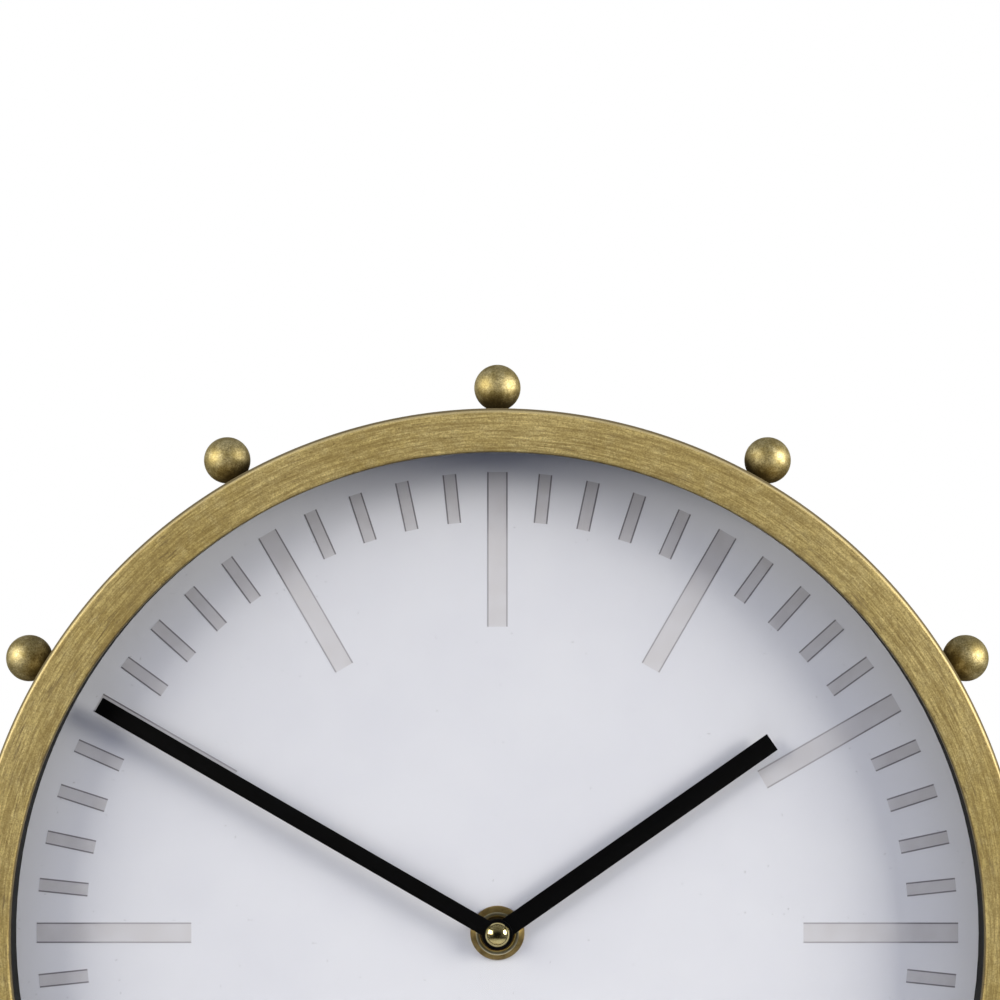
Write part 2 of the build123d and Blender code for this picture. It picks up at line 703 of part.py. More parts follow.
def minute_arbor():
    pinion_front = layer_front(MOTION_LAYER) + pinion_overhang
    pinion_back = layer_front(MOTION_LAYER) - WHEEL - pinion_overhang
    seat_back = layer_front(CENTRE_LAYER) - WHEEL
    shoulder = dial_front + minute_plate
    tail_back = centre_pivot_back - PIVOT
    arbor = disc(minute_thread_radius, shoulder, dial_front + minute_thread_top)
    arbor += disc(MINUTE_ARBOR_RADIUS, pinion_front, shoulder)
    arbor += gear(CANNON_TEETH, motion_module, cannon_phase, pinion_back, pinion_front)
    arbor += disc(CENTRE_SEAT_RADIUS, seat_back, pinion_back)
    return arbor + disc(ARBOR_TAIL_RADIUS, tail_back, seat_back)


def centre_wheel():
    front = layer_front(CENTRE_LAYER)
    return gear(CENTRE_TEETH, CENTRE_MODULE, centre_phase, front - WHEEL, front, CENTRE_SEAT_RADIUS)


def third_wheel():
    pinion_front = layer_front(CENTRE_LAYER) + pinion_overhang
    front = layer_front(THIRD_LAYER)
    wheel = gear(THIRD_PINION_TEETH, CENTRE_MODULE, third_pinion_phase, front, pinion_front)
    wheel += gear(THIRD_TEETH, THIRD_MODULE, third_phase, front - WHEEL, front)
    wheel += disc(ARBOR_RADIUS, third_pivot_back - PIVOT, third_pivot_front + PIVOT)
    return Pos(*third_place) * wheel


def rotor():
    pinion_front = layer_front(THIRD_LAYER) + pinion_overhang
    shape = gear(ROTOR_TEETH, THIRD_MODULE, rotor_phase, magnet_front, pinion_front)
    shape += disc(MAGNET_RADIUS, magnet_back, magnet_front)
    shape += disc(ARBOR_RADIUS, rotor_pivot_back - PIVOT, rotor_pivot_front + PIVOT)
    return Pos(*rotor_place) * shape


def stator():
    plate = block((core_left, stator_low, stator_back), (stator_right, stator_high, stator_front))
    window_low = (core_right, stator_low + STATOR_BAR, stator_back - OVERRUN)
    window_high = (limb_left, stator_high - STATOR_BAR, stator_front + OVERRUN)
    return plate - block(window_low, window_high) - disc(stator_hole, stator_back, stator_front, rotor_place)


def coil_box(margin, low, high):
    """A box round the stator's core, a margin larger than it on four sides, between two heights."""
    corner_low = (core_left - margin, low, stator_back - margin)
    corner_high = (core_right + margin, high, stator_front + margin)
    return block(corner_low, corner_high)


def coil_bobbin():
    flange = coil_wrap + BOBBIN_LIP
    shape = coil_box(COIL_CLEAR + BOBBIN_WALL, coil_low, coil_high)
    shape += coil_box(flange, coil_low, coil_low + BOBBIN_FLANGE)
    shape += coil_box(flange, coil_high - BOBBIN_FLANGE, coil_high)
    return shape - coil_box(COIL_CLEAR, coil_low - OVERRUN, coil_high + OVERRUN)


def coil_winding():
    low = coil_low + BOBBIN_FLANGE
    high = coil_high - BOBBIN_FLANGE
    return coil_box(coil_wrap, low, high) - coil_box(COIL_CLEAR + BOBBIN_WALL, low, high)


def circuit_board():
    back = stator_front - BOARD_SHEET
    board = block((board_left, board_low, back), (board_right, board_high, stator_front))
    chip_place = ((board_left + board_right) / 2, (board_low + board_high) / 2)
    return board + disc(CHIP_RADIUS, back - CHIP_HEIGHT, back, chip_place)


def quartz_crystal():
    left = board_left + CRYSTAL_EDGE
    z = stator_front - BOARD_SHEET - CRYSTAL_RADIUS
    return sideways_rod(CRYSTAL_RADIUS, left, left + CRYSTAL_LENGTH, board_low + CRYSTAL_EDGE / 2, z)


def setting_knob():
    pinion_front = layer_front(MOTION_LAYER) + pinion_overhang
    pinion_back = layer_front(MOTION_LAYER) - WHEEL - pinion_overhang
    pivot_front = layer_front(MOTION_LAYER) + LAYER_GAP + PIVOT
    knob_front = movement_back - KNOB_GAP
    knob_back = knob_front - KNOB_HEIGHT
    shape = disc(SETTING_PIVOT_RADIUS, pinion_front, pivot_front)
    shape += gear(SETTING_TEETH, motion_module, setting_phase, pinion_back, pinion_front)
    shape += disc(SETTING_SHAFT_RADIUS, knob_front, pinion_back)
    head = disc(KNOB_RADIUS, knob_back, knob_front)
    head = fillet(head.edges().group_by(Axis.Z)[0], KNOB_ROUND)
    for i in range(KNOB_GRIPS):
        place = polar(KNOB_RADIUS, i * 360 / KNOB_GRIPS)
        head -= disc(KNOB_GRIP_RADIUS, knob_back - OVERRUN, knob_front + OVERRUN, place)
    return Pos(*setting_place) * (shape + head)


def battery():
    left = -BATTERY_LENGTH / 2
    shoulder = BATTERY_LENGTH / 2 - BATTERY_NUB
    can = sideways_rod(BATTERY_RADIUS, left, shoulder, battery_y, battery_z)
    can = fillet(can.edges().filter_by(GeomType.CIRCLE), BATTERY_RIM_ROUND)
    return can + sideways_rod(BATTERY_NUB_RADIUS, shoulder, BATTERY_LENGTH / 2, battery_y, battery_z)


def contact_plate(outer, inner):
    """A thin upright plate at one end of the battery, between two places along x."""
    low = (min(outer, inner), battery_y - CONTACT_WIDTH / 2, battery_z - CONTACT_DEPTH / 2)
    high = (max(outer, inner), battery_y + CONTACT_WIDTH / 2, battery_z + CONTACT_DEPTH / 2)
    return block(low, high)


def positive_contact():
    plate = contact_plate(inner_half, inner_half - CONTACT_SHEET)
    tip = BATTERY_LENGTH / 2 + CONTACT_TOUCH_GAP
    return plate + sideways_rod(CONTACT_DIMPLE_RADIUS, tip, inner_half - CONTACT_SHEET, battery_y, battery_z)


def negative_contact():
    plate = contact_plate(-inner_half, -inner_half + CONTACT_SHEET)
    root = -inner_half + CONTACT_SHEET
    tip = -BATTERY_LENGTH / 2 - CONTACT_TOUCH_GAP
    half = CONTACT_WIDTH / 2
    leaf = make_face(
        Polyline(
            (root, battery_y - half),
            (tip, battery_y),
            (root, battery_y + half),
            close=True,
        )
    )
    return plate + slab(leaf, battery_z - CONTACT_DEPTH / 4, battery_z + CONTACT_DEPTH / 4)


def stand_post():
    foot_top = base_top + POST_FOOT_HEIGHT
    neck_top = rim_low + POST_NECK_RADIUS
    points = (
        (0, base_top),
        (post_foot_radius, base_top),
        (post_foot_radius, foot_top),
        (POST_NECK_RADIUS, foot_top),
        (POST_NECK_RADIUS, neck_top),
        (0, neck_top),
    )
    edge_round = POST_FOOT_HEIGHT / 3
    post = turned_upright(points, (0, 0, edge_round, POST_FLARE_ROUND, 0, 0))
    post -= disc(BEZEL_RADIUS, -post_foot_radius, post_foot_radius)
    for x in saddle_screw_sides():
        post -= upright_rod(SADDLE_SCREW_RADIUS, rim_low - SADDLE_SCREW_BITE, neck_top, x, saddle_z)
    return post - upright_rod(BASE_BOLT_RADIUS, base_top, base_top + BASE_BOLT_BITE)


def saddle_plate():
    low = (-SADDLE_LENGTH / 2, -band_bore, saddle_z - SADDLE_DEPTH / 2)
    high = (SADDLE_LENGTH / 2, -band_bore + SADDLE_THICKNESS, saddle_z + SADDLE_DEPTH / 2)
    plate = block(low, high) & disc(band_bore, low[2], high[2])
    radius = SADDLE_SCREW_RADIUS + SCREW_HOLE_GAP
    for x in saddle_screw_sides():
        plate -= upright_rod(radius, low[1] - OVERRUN, high[1] + OVERRUN, x, saddle_z)
    return plate


def saddle_screws():
    seat = -band_bore + SADDLE_THICKNESS
    screw = upright_rod(SADDLE_SCREW_RADIUS, rim_low - SADDLE_SCREW_BITE, seat, z=saddle_z)
    screw += upright_rod(SADDLE_SCREW_HEAD_RADIUS, seat, seat + SADDLE_SCREW_HEAD_HEIGHT, z=saddle_z)
    return Part() + [Pos(x, 0, 0) * screw for x in saddle_screw_sides()]


def foot_places():
    circle = BASE_RADIUS - FOOT_INSET
    return [polar(circle, FOOT_FIRST_ANGLE + i * 360 / FOOT_COUNT) for i in range(FOOT_COUNT)]


def stand_base():
    points = ((0, base_low), (BASE_RADIUS, base_low), (BASE_RADIUS, base_top), (0, base_top))
    base = turned_upright(points, (0, 0, BASE_ROUND, 0))
    base -= upright_rod(BASE_BOLT_HEAD_RADIUS + SCREW_HOLE_GAP, base_low, base_low + BASE_BOLT_SINK)
    base -= upright_rod(BASE_BOLT_RADIUS + SCREW_HOLE_GAP, base_low, base_top)
    for x, z in foot_places():
        base -= upright_rod(FOOT_RADIUS, base_low, base_low + FOOT_RECESS, x, z)
    return base


def base_bolt():
    seat = base_low + BASE_BOLT_SINK
    head = upright_rod(BASE_BOLT_HEAD_RADIUS, seat - BASE_BOLT_HEAD_HEIGHT, seat)
    return head + upright_rod(BASE_BOLT_RADIUS, seat, base_top + BASE_BOLT_BITE)


def foot(place):
    return upright_rod(FOOT_RADIUS, ground, ground + FOOT_HEIGHT, *place)


def dial_disc(back, front):
    return disc(band_bore - DIAL_EDGE_GAP, back, front, bore=bush_radius + DIAL_HOLE_GAP)


pieces = {
    "bezel_ring": bezel_ring(),
    "case_band": case_band(),
    "front_glass": disc(band_bore - GLASS_EDGE_GAP, glass_back, glass_front),
    "glass_spacer": glass_spacer(),
    "dial_sheet": dial_disc(board_front, dial_front),
    "dial_board": dial_disc(board_back, board_front),
    "dial_brackets": dial_brackets(),
    "ball_nuts": ball_nuts(),
    "rear_cover": rear_cover(),
    "rear_cover_screws": rear_cover_screws(),
    "movement_case": movement_case(),
    "movement_cover": movement_cover(),
    "threaded_bush": disc(bush_radius, floor_back, dial_front + BUSH_PROUD, bore=bush_bore),
    "rubber_washer": disc(bush_radius + WASHER_WIDTH, movement_front, board_back, bore=bush_radius),
    "dial_nut": dial_nut(),
    "hour_wheel": hour_wheel(),
    "hour_hand": hour_hand(),
    "minute_arbor": minute_arbor(),
    "minute_hand": minute_hand(),
    "hand_cap": hand_cap(),
    "centre_wheel": centre_wheel(),
    "motion_wheel": motion_wheel(),
    "third_wheel": third_wheel(),
    "rotor": rotor(),
    "stator": stator(),
    "coil_bobbin": coil_bobbin(),
    "coil_winding": coil_winding(),
    "circuit_board": circuit_board(),
    "quartz_crystal": quartz_crystal(),
    "setting_knob": setting_knob(),
    "battery": battery(),
    "positive_contact": positive_contact(),
    "negative_contact": negative_contact(),
    "stand_post": stand_post(),
    "saddle_plate": saddle_plate(),
    "saddle_screws": saddle_screws(),
    "stand_base": stand_base(),
    "base_bolt": base_bolt(),
}
for hour in ball_hours():
    pieces[f"rim_ball_{hour:02d}"] = rim_ball(hour)
for number, place in enumerate(foot_places(), start=1):
    pieces[f"foot_{number}"] = foot(place)

# Stand the clock upright: the dial looks along -Y, and the feet rest on the plane z = 0
upright = Plane(origin=(0, 0, -ground), x_dir=(1, 0, 0), z_dir=(0, -1, 0)).location
os.makedirs("parts", exist_ok=True)
for name, shape in pieces.items():
    export_step(upright * shape, f"parts/{name}.step")
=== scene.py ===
from math import acos, cos, hypot, pi, radians, sin, sqrt

import bpy
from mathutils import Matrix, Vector


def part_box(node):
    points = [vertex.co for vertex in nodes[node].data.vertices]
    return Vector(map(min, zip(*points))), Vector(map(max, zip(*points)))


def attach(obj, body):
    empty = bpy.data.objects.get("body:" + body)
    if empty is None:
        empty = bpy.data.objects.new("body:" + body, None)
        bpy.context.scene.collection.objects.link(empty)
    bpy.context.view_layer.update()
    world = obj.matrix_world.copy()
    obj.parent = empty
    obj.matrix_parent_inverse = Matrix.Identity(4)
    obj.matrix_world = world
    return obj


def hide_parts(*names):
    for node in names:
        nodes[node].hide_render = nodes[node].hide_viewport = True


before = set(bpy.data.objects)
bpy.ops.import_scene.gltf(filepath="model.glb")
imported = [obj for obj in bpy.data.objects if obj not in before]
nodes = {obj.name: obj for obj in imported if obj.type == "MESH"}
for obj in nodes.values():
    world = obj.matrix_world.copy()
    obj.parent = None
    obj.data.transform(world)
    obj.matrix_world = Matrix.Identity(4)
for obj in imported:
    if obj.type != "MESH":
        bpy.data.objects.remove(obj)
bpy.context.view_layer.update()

# Base
# A solid brass disc whose weight keeps the clock from tipping. It is turned, brushed round its own axis and
# darkened, and a pocket underneath takes the head of the bolt that holds the post.
base_low, base_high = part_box("stand_base")
BASE_RADIUS = base_high.x
BASE_EDGE_ROUND = 0.003
BASE_HEEL_ROUND = 0.0008
BOLT_POCKET_RADIUS = 0.0053
BOLT_POCKET_DEPTH = 0.005
BOLT_HOLE_RADIUS = 0.0033
FOOT_NAMES = ["foot_1", "foot_2", "foot_3", "foot_4"]
SAME_PLACE = 0.00001
DOUBLE_POINT = 0.000001
SMOOTH_ANGLE = 35


def lathe(name, profile, segments=256):
    """Draws a circle out along a profile of (radius, height) steps about the z axis, as on a lathe.
    A radius of zero closes the surface in a point on the axis."""
    bpy.ops.object.select_all(action="DESELECT")
    radius, height = profile[0]
    bpy.ops.mesh.primitive_circle_add(vertices=segments, radius=radius, location=(0, 0, height))
    piece = bpy.context.object
    piece.name = name
    bpy.ops.object.transform_apply(location=True)
    bpy.ops.object.mode_set(mode="EDIT")
    bpy.ops.mesh.select_all(action="SELECT")
    for next_radius, next_height in profile[1:]:
        bpy.ops.mesh.extrude_region()
        bpy.ops.transform.translate(value=(0, 0, next_height - height))
        share = next_radius / radius
        if share:
            bpy.ops.transform.resize(value=(share, share, 1), center_override=(0, 0, next_height))
        else:
            bpy.ops.mesh.merge(type="CENTER")
        radius, height = next_radius, next_height
    return piece


def pick_loop(piece, radius, height):
    """Selects the circle of points about the z axis at a radius and a height of a piece in edit mode."""
    bpy.ops.mesh.select_all(action="DESELECT")
    bpy.ops.object.mode_set(mode="OBJECT")
    for vertex in piece.data.vertices:
        off_circle = abs(hypot(vertex.co.x, vertex.co.y) - radius)
        off_level = abs(vertex.co.z - height)
        vertex.select = max(off_circle, off_level) < SAME_PLACE
    bpy.ops.object.mode_set(mode="EDIT")


def round_loop(piece, radius, height, size, segments=6):
    """Rounds the edge that runs about the z axis at a radius and a height."""
    pick_loop(piece, radius, height)
    bpy.ops.mesh.bevel(offset=size, segments=segments, affect="EDGES")


def fill_loop(piece, radius, height):
    """Closes the open edge that runs about the z axis at a radius and a height with one flat face."""
    pick_loop(piece, radius, height)
    bpy.ops.mesh.edge_face_add()


def close_up(smooth_angle=SMOOTH_ANGLE):
    """Merges doubled points, turns the faces outwards, leaves edit mode and smooths the shading."""
    bpy.ops.mesh.select_all(action="SELECT")
    bpy.ops.mesh.remove_doubles(threshold=DOUBLE_POINT)
    bpy.ops.mesh.normals_make_consistent(inside=False)
    bpy.ops.object.mode_set(mode="OBJECT")
    bpy.ops.object.shade_smooth_by_angle(angle=radians(smooth_angle))


def combine(piece, second, operation):
    """Cuts a second solid out of a piece (DIFFERENCE) or joins it on (UNION), and removes the second."""
    change = piece.modifiers.new("change", "BOOLEAN")
    change.operation = operation
    change.object = second
    bpy.ops.object.select_all(action="DESELECT")
    piece.select_set(True)
    bpy.context.view_layer.objects.active = piece
    bpy.ops.object.modifier_apply(modifier=change.name)
    bpy.data.objects.remove(second)
    bpy.ops.object.shade_smooth_by_angle(angle=radians(SMOOTH_ANGLE))


def fit(piece, material, slot, body, *replaced):
    """Gives a finished piece its material and the body it moves with, and hides the nodes it stands for. The
    slot is not used.
    """
    piece.data.materials.clear()
    piece.data.materials.append(material)
    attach(piece, body)
    if replaced:
        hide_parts(*replaced)


class Wire:
    """A socket in a node tree. Sums, differences and products of wires add Math nodes to that tree."""

    def __init__(self, tree, socket=None):
        self.tree = tree
        self.socket = socket

    def node(self, kind, settings, sockets, output=0):
        """Adds a node: its settings are made first, then its sockets are linked or set."""
        added = self.tree.nodes.new(kind)
        for name, value in settings.items():
            setattr(added, name, value)
        for key, value in sockets.items():
            named = [s for s in added.inputs if s.enabled and s.name == key]
            socket = named[0] if named else added.inputs[key]
            if isinstance(value, Wire):
                self.tree.links.new(value.socket, socket)
            else:
                socket.default_value = value
        ways_out = [s for s in added.outputs if s.enabled and output in (0, s.name)]
        return Wire(self.tree, ways_out[0] if ways_out else None)

    def math(self, operation, *values):
        """A Math node on wires and numbers."""
        return self.node("ShaderNodeMath", {"operation": operation}, dict(enumerate(values)))

    def vector(self, operation, *values, output=0):
        """A Vector Math node on wires and vectors."""
        sockets = dict(enumerate(values))
        return self.node("ShaderNodeVectorMath", {"operation": operation}, sockets, output)

    def __add__(self, other):
        return self.math("ADD", self, other)

    def __sub__(self, other):
        return self.math("SUBTRACT", self, other)

    def __rsub__(self, other):
        return self.math("SUBTRACT", other, self)

    def __mul__(self, other):
        return self.math("MULTIPLY", self, other)

    __radd__ = __add__
    __rmul__ = __mul__


def new_finish(name):
    """An empty material, and a wire that its nodes are added through."""
    material = bpy.data.materials.new(name)
    material.use_nodes = True
    material.node_tree.nodes.clear()
    return material, Wire(material.node_tree)


def paint(red, green, blue):
    """A colour as seen on a screen, 0 to 255, made linear."""
    parts = [part / 255 for part in (red, green, blue)]
    return tuple(p / 12.92 if p <= 0.04045 else ((p + 0.055) / 1.055) ** 2.4 for p in parts) + (1,)


def blend(wire, factor, first, second):
    """A colour that goes from the first to the second with a factor."""
    sockets = {"Factor": factor, "A": first, "B": second}
    return wire.node("ShaderNodeMix", {"data_type": "RGBA"}, sockets)


def rise(wire, value, low, high):
    """A smooth step from 0 to 1 as a value goes from low to high."""
    limits = {"Value": value, "From Min": low, "From Max": high}
    return wire.node("ShaderNodeMapRange", {"interpolation_type": "SMOOTHSTEP"}, limits)


def noise(wire, where, scale, detail=4, roughness=0.55):
    """Soft spots from 0 to 1, scale of them to a metre, broken up finer by detail and roughness."""
    sockets = {"Vector": where, "Scale": scale, "Detail": detail, "Roughness": roughness}
    return wire.node("ShaderNodeTexNoise", {}, sockets)


def place_on_piece(wire):
    """The place of a point on a piece, in metres from the shared origin."""
    return wire.node("ShaderNodeTexCoord", {}, {}, "Object")


def surface(wire, sockets):
    """Ends a material with one shader that has these sockets."""
    shader = wire.node("ShaderNodeBsdfPrincipled", {}, sockets)
    wire.node("ShaderNodeOutputMaterial", {}, {"Surface": shader})


def relief(wire, height, distance, strength=1):
    """The normal of a surface with a small relief, its depth in metres."""
    sockets = {"Height": height, "Distance": distance, "Strength": strength}
    return wire.node("ShaderNodeBump", {}, sockets, "Normal")


def aged_brass(name, centre, turn, light_and_shade=None):
    """Brass brushed round an axis, then darkened so that some of the brush marks hold a brown stain.
    A function may be given that paints light and shade onto the metal, by the radius and the height on that
    axis."""
    material, wire = new_finish(name)
    seen_along_axis = {"Vector": place_on_piece(wire), "Location": centre, "Rotation": turn}
    drawn = wire.node("ShaderNodeMapping", {}, seen_along_axis)
    across = wire.vector("MULTIPLY", drawn, (1, 1, 0))
    radius = wire.vector("LENGTH", across, output="Value")
    compass = wire.vector("NORMALIZE", across)
    height = wire.node("ShaderNodeSeparateXYZ", {}, {0: drawn}, "Z")

    def brush_marks(turns, fineness, detail):
        """Noise drawn out round the axis: turns sets how short a mark is, fineness how narrow."""
        step = wire.node("ShaderNodeCombineXYZ", {}, {"Z": (radius - height) * fineness})
        around = wire.vector("MULTIPLY", compass, (turns, turns, 0))
        return noise(wire, wire.vector("ADD", around, step), 1, detail, 0.6)

    strokes = brush_marks(14, 2700, 4)
    dashes = brush_marks(44, 1500, 3)
    streaks = brush_marks(6, 1100, 4)
    flecks = rise(wire, brush_marks(130, 2400, 2), 0.62, 0.76)
    grit = noise(wire, drawn, 2500, 2)
    cloud = rise(wire, noise(wire, drawn, 34, 5, 0.6), 0.32, 0.68)
    rubbed = rise(wire, noise(wire, drawn, 300, 3, 0.6), 0.44, 0.70)
    held = rise(wire, noise(wire, drawn, 55, 4), 0.42, 0.62)
    stain = rise(wire, brush_marks(18, 1300, 5), 0.52, 0.68) * (0.15 + held * 0.85)
    metal = blend(wire, cloud, paint(206, 185, 117), paint(234, 214, 147))
    layers = [
        (rubbed * 0.45, paint(242, 226, 165)),
        (rise(wire, streaks, 0.58, 0.34) * 0.5, paint(144, 121, 68)),
        (rise(wire, strokes, 0.66, 0.32) * 0.55, paint(138, 116, 65)),
        (rise(wire, dashes, 0.62, 0.30) * 0.4, paint(132, 110, 61)),
        (rise(wire, grit, 0.66, 0.32) * 0.5, paint(126, 104, 58)),
        (flecks * 0.6, paint(92, 74, 40)),
        (stain * 0.65, paint(80, 63, 34)),
    ]
    for share, colour in layers:
        metal = blend(wire, share, metal, colour)
    if light_and_shade:
        metal = light_and_shade(wire, metal, radius, height)
    surface(wire, {
        "Base Color": metal,
        "Metallic": 0.65 - stain * 0.3,
        "Roughness": 0.52 + strokes * 0.14 + stain * 0.12,
        "Normal": relief(wire, strokes + grit * 0.5, 0.00005),
    })
    return material


base = lathe("stand_base_disc", [
    (BOLT_HOLE_RADIUS, base_high.z),
    (BOLT_HOLE_RADIUS, base_low.z + BOLT_POCKET_DEPTH),
    (BOLT_POCKET_RADIUS, base_low.z + BOLT_POCKET_DEPTH),
    (BOLT_POCKET_RADIUS, base_low.z),
    (BASE_RADIUS, base_low.z),
    (BASE_RADIUS, base_high.z),
    (BOLT_HOLE_RADIUS, base_high.z),
])
round_loop(base, BASE_RADIUS, base_high.z, BASE_EDGE_ROUND, 8)
round_loop(base, BASE_RADIUS, base_low.z, BASE_HEEL_ROUND, 3)
close_up()
for name in FOOT_NAMES:
    seat_low, seat_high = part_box(name)
    seat_middle = (seat_low + seat_high) / 2
    bpy.ops.object.select_all(action="DESELECT")
    bpy.ops.mesh.primitive_cylinder_add(
        vertices=64,
        radius=(seat_high.x - seat_low.x) / 2,
        depth=2 * (seat_high.z - base_low.z),
        location=(seat_middle.x, seat_middle.y, base_low.z),
    )
    combine(base, bpy.context.object, "DIFFERENCE")
upright_brass = aged_brass("upright_brass", (0, 0, 0), (0, 0, 0))
fit(base, upright_brass, "antique_brass", "case", "stand_base")

# Feet
# Four pads of black rubber, each pressed into a shallow seat under the base, so that the clock doesn't slide
# or scratch the table.
foot_low, foot_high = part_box(FOOT_NAMES[0])
FOOT_RADIUS = (foot_high.x - foot_low.x) / 2
FOOT_EDGE_ROUND = 0.0008
HOLLOW_RADIUS = FOOT_RADIUS * 0.5
HOLLOW_EDGE_RADIUS = FOOT_RADIUS * 0.8
HOLLOW_DEPTH = 0.0004


def moulded_rubber(name):
    """Black rubber with the fine bloom and dust that it picks up."""
    material, wire = new_finish(name)
    where = place_on_piece(wire)
    grain = noise(wire, where, 2600, 3)
    bloom = rise(wire, noise(wire, where, 160, 5, 0.65), 0.40, 0.75)
    surface(wire, {
        "Base Color": blend(wire, bloom, paint(22, 22, 23), paint(44, 43, 42)),
        "Roughness": 0.72 + bloom * 0.16,
        "Normal": relief(wire, grain, 0.00005),
    })
    return material


def copy_of(piece, name):
    """A second piece of the same shape with a mesh of its own, left as the only one selected."""
    bpy.ops.object.select_all(action="DESELECT")
    twin = piece.copy()
    twin.data = piece.data.copy()
    twin.name = name
    bpy.context.collection.objects.link(twin)
    twin.select_set(True)
    bpy.context.view_layer.objects.active = twin
    return twin


rubber = moulded_rubber("black_rubber")
hollow_top = foot_low.z + HOLLOW_DEPTH
foot = lathe("foot_pad", [
    (HOLLOW_RADIUS, hollow_top),
    (HOLLOW_EDGE_RADIUS, foot_low.z),
    (FOOT_RADIUS, foot_low.z),
    (FOOT_RADIUS, foot_high.z),
    (0, foot_high.z),
], 64)
round_loop(foot, FOOT_RADIUS, foot_low.z, FOOT_EDGE_ROUND, 4)
fill_loop(foot, HOLLOW_RADIUS, hollow_top)
close_up()
for name in FOOT_NAMES:
    seat_low, seat_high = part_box(name)
    seat_middle = (seat_low + seat_high) / 2
    pad = copy_of(foot, f"{name}_pad")
    pad.location = (seat_middle.x, seat_middle.y, 0)
    bpy.ops.object.transform_apply(location=True)
    fit(pad, rubber, "black_rubber", "case", name)
bpy.data.objects.remove(foot)

# Post
# A turned brass neck that flares out to a flat foot on the base. Its top is cut to the round of the rim,
# which two screws from inside the drum draw down onto it.
post_low, post_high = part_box("stand_post")
rim_low, rim_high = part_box("bezel_ring")
CENTRE = (rim_low.z + rim_high.z) / 2
RIM_RADIUS = rim_high.x
POST_FOOT_RADIUS = post_high.x
POST_FOOT_HEIGHT = 0.0025
POST_FOOT_ROUND = 0.0009
POST_NECK_RADIUS = 0.013
POST_FLARE = 0.012

post_top = CENTRE - RIM_RADIUS + POST_NECK_RADIUS
foot_top = post_low.z + POST_FOOT_HEIGHT
post = lathe("stand_post_turning", [
    (POST_NECK_RADIUS / 2, post_low.z),
    (POST_FOOT_RADIUS, post_low.z),
    (POST_FOOT_RADIUS, foot_top),
    (POST_NECK_RADIUS, foot_top),
    (POST_NECK_RADIUS, post_top),
    (0, post_top),
], 128)
round_loop(post, POST_NECK_RADIUS, foot_top, POST_FLARE, 20)
round_loop(post, POST_FOOT_RADIUS, foot_top, POST_FOOT_ROUND, 4)
fill_loop(post, POST_NECK_RADIUS / 2, post_low.z)
close_up()
bpy.ops.object.select_all(action="DESELECT")
bpy.ops.mesh.primitive_cylinder_add(
    vertices=512,
    radius=RIM_RADIUS,
    depth=4 * POST_NECK_RADIUS,
    location=(0, 0, CENTRE),
    rotation=(pi / 2, 0, 0),
)
combine(post, bpy.context.object, "DIFFERENCE")
fit(post, upright_brass, "antique_brass", "case", "stand_post")

# Fixings of the stand
# A plated steel saddle inside the drum with its two pan-head screws, and the bolt that comes up through the
# base into the post. They are bought parts, zinc plated with a faint blue and yellow bloom.


def zinc_plate(name):
    """Bright zinc on steel: a fine frost with patches of a duller bloom."""
    material, wire = new_finish(name)
    where = place_on_piece(wire)
    frost = noise(wire, where, 1800, 4, 0.6)
    bloom = rise(wire, noise(wire, where, 210, 4, 0.6), 0.35, 0.70)
    surface(wire, {
        "Base Color": blend(wire, bloom, paint(196, 198, 201), paint(182, 178, 164)),
        "Metallic": 1.0,
        "Roughness": 0.28 + frost * 0.16 + bloom * 0.08,
        "Normal": relief(wire, frost, 0.00002),
    })
    return material


def dress(material, *names):
    """Gives nodes whose shape is already right their finish."""
    for name in names:
        nodes[name].data.materials.clear()
        nodes[name].data.materials.append(material)


zinc = zinc_plate("zinc_steel")
dress(zinc, "saddle_plate", "saddle_screws", "base_bolt")

# Drum
# A band of thin brass sheet rolled into a hoop, with a wired bead round its rear edge and a flange inside
# that takes the screws of the rear cover. The bezel's skirt slides over its front.
BAND_RADIUS = 0.1392
BAND_BORE = 0.1380
BAND_FRONT = 0.0210
BAND_BACK = -0.0250
BAND_BEAD = 0.0010
BAND_BEAD_LENGTH = 0.0020
BEAD_ROUND = 0.0009
BAND_BORE_ROUND = 0.0005
FLANGE_BORE = 0.1280
FLANGE_SHEET = 0.0012
FLANGE_BACK = -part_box("rear_cover")[0].y
FLANGE_FRONT = FLANGE_BACK + FLANGE_SHEET
BEZEL_FRONT = -rim_low.y
LIP_SIDE = 0.1340
RIM_SIDE = 0.1350
PAINTED_EDGE_START = 0.00003
PAINTED_HIGHLIGHT_END = 0.00015
PAINTED_SHADE_DEPTH = 0.0004
PAINTED_SHADE_FULL_DEPTH = 0.0009
SKIRT_SHADE_NEAR = 0.003
SKIRT_SHADE_FAR = 0.014


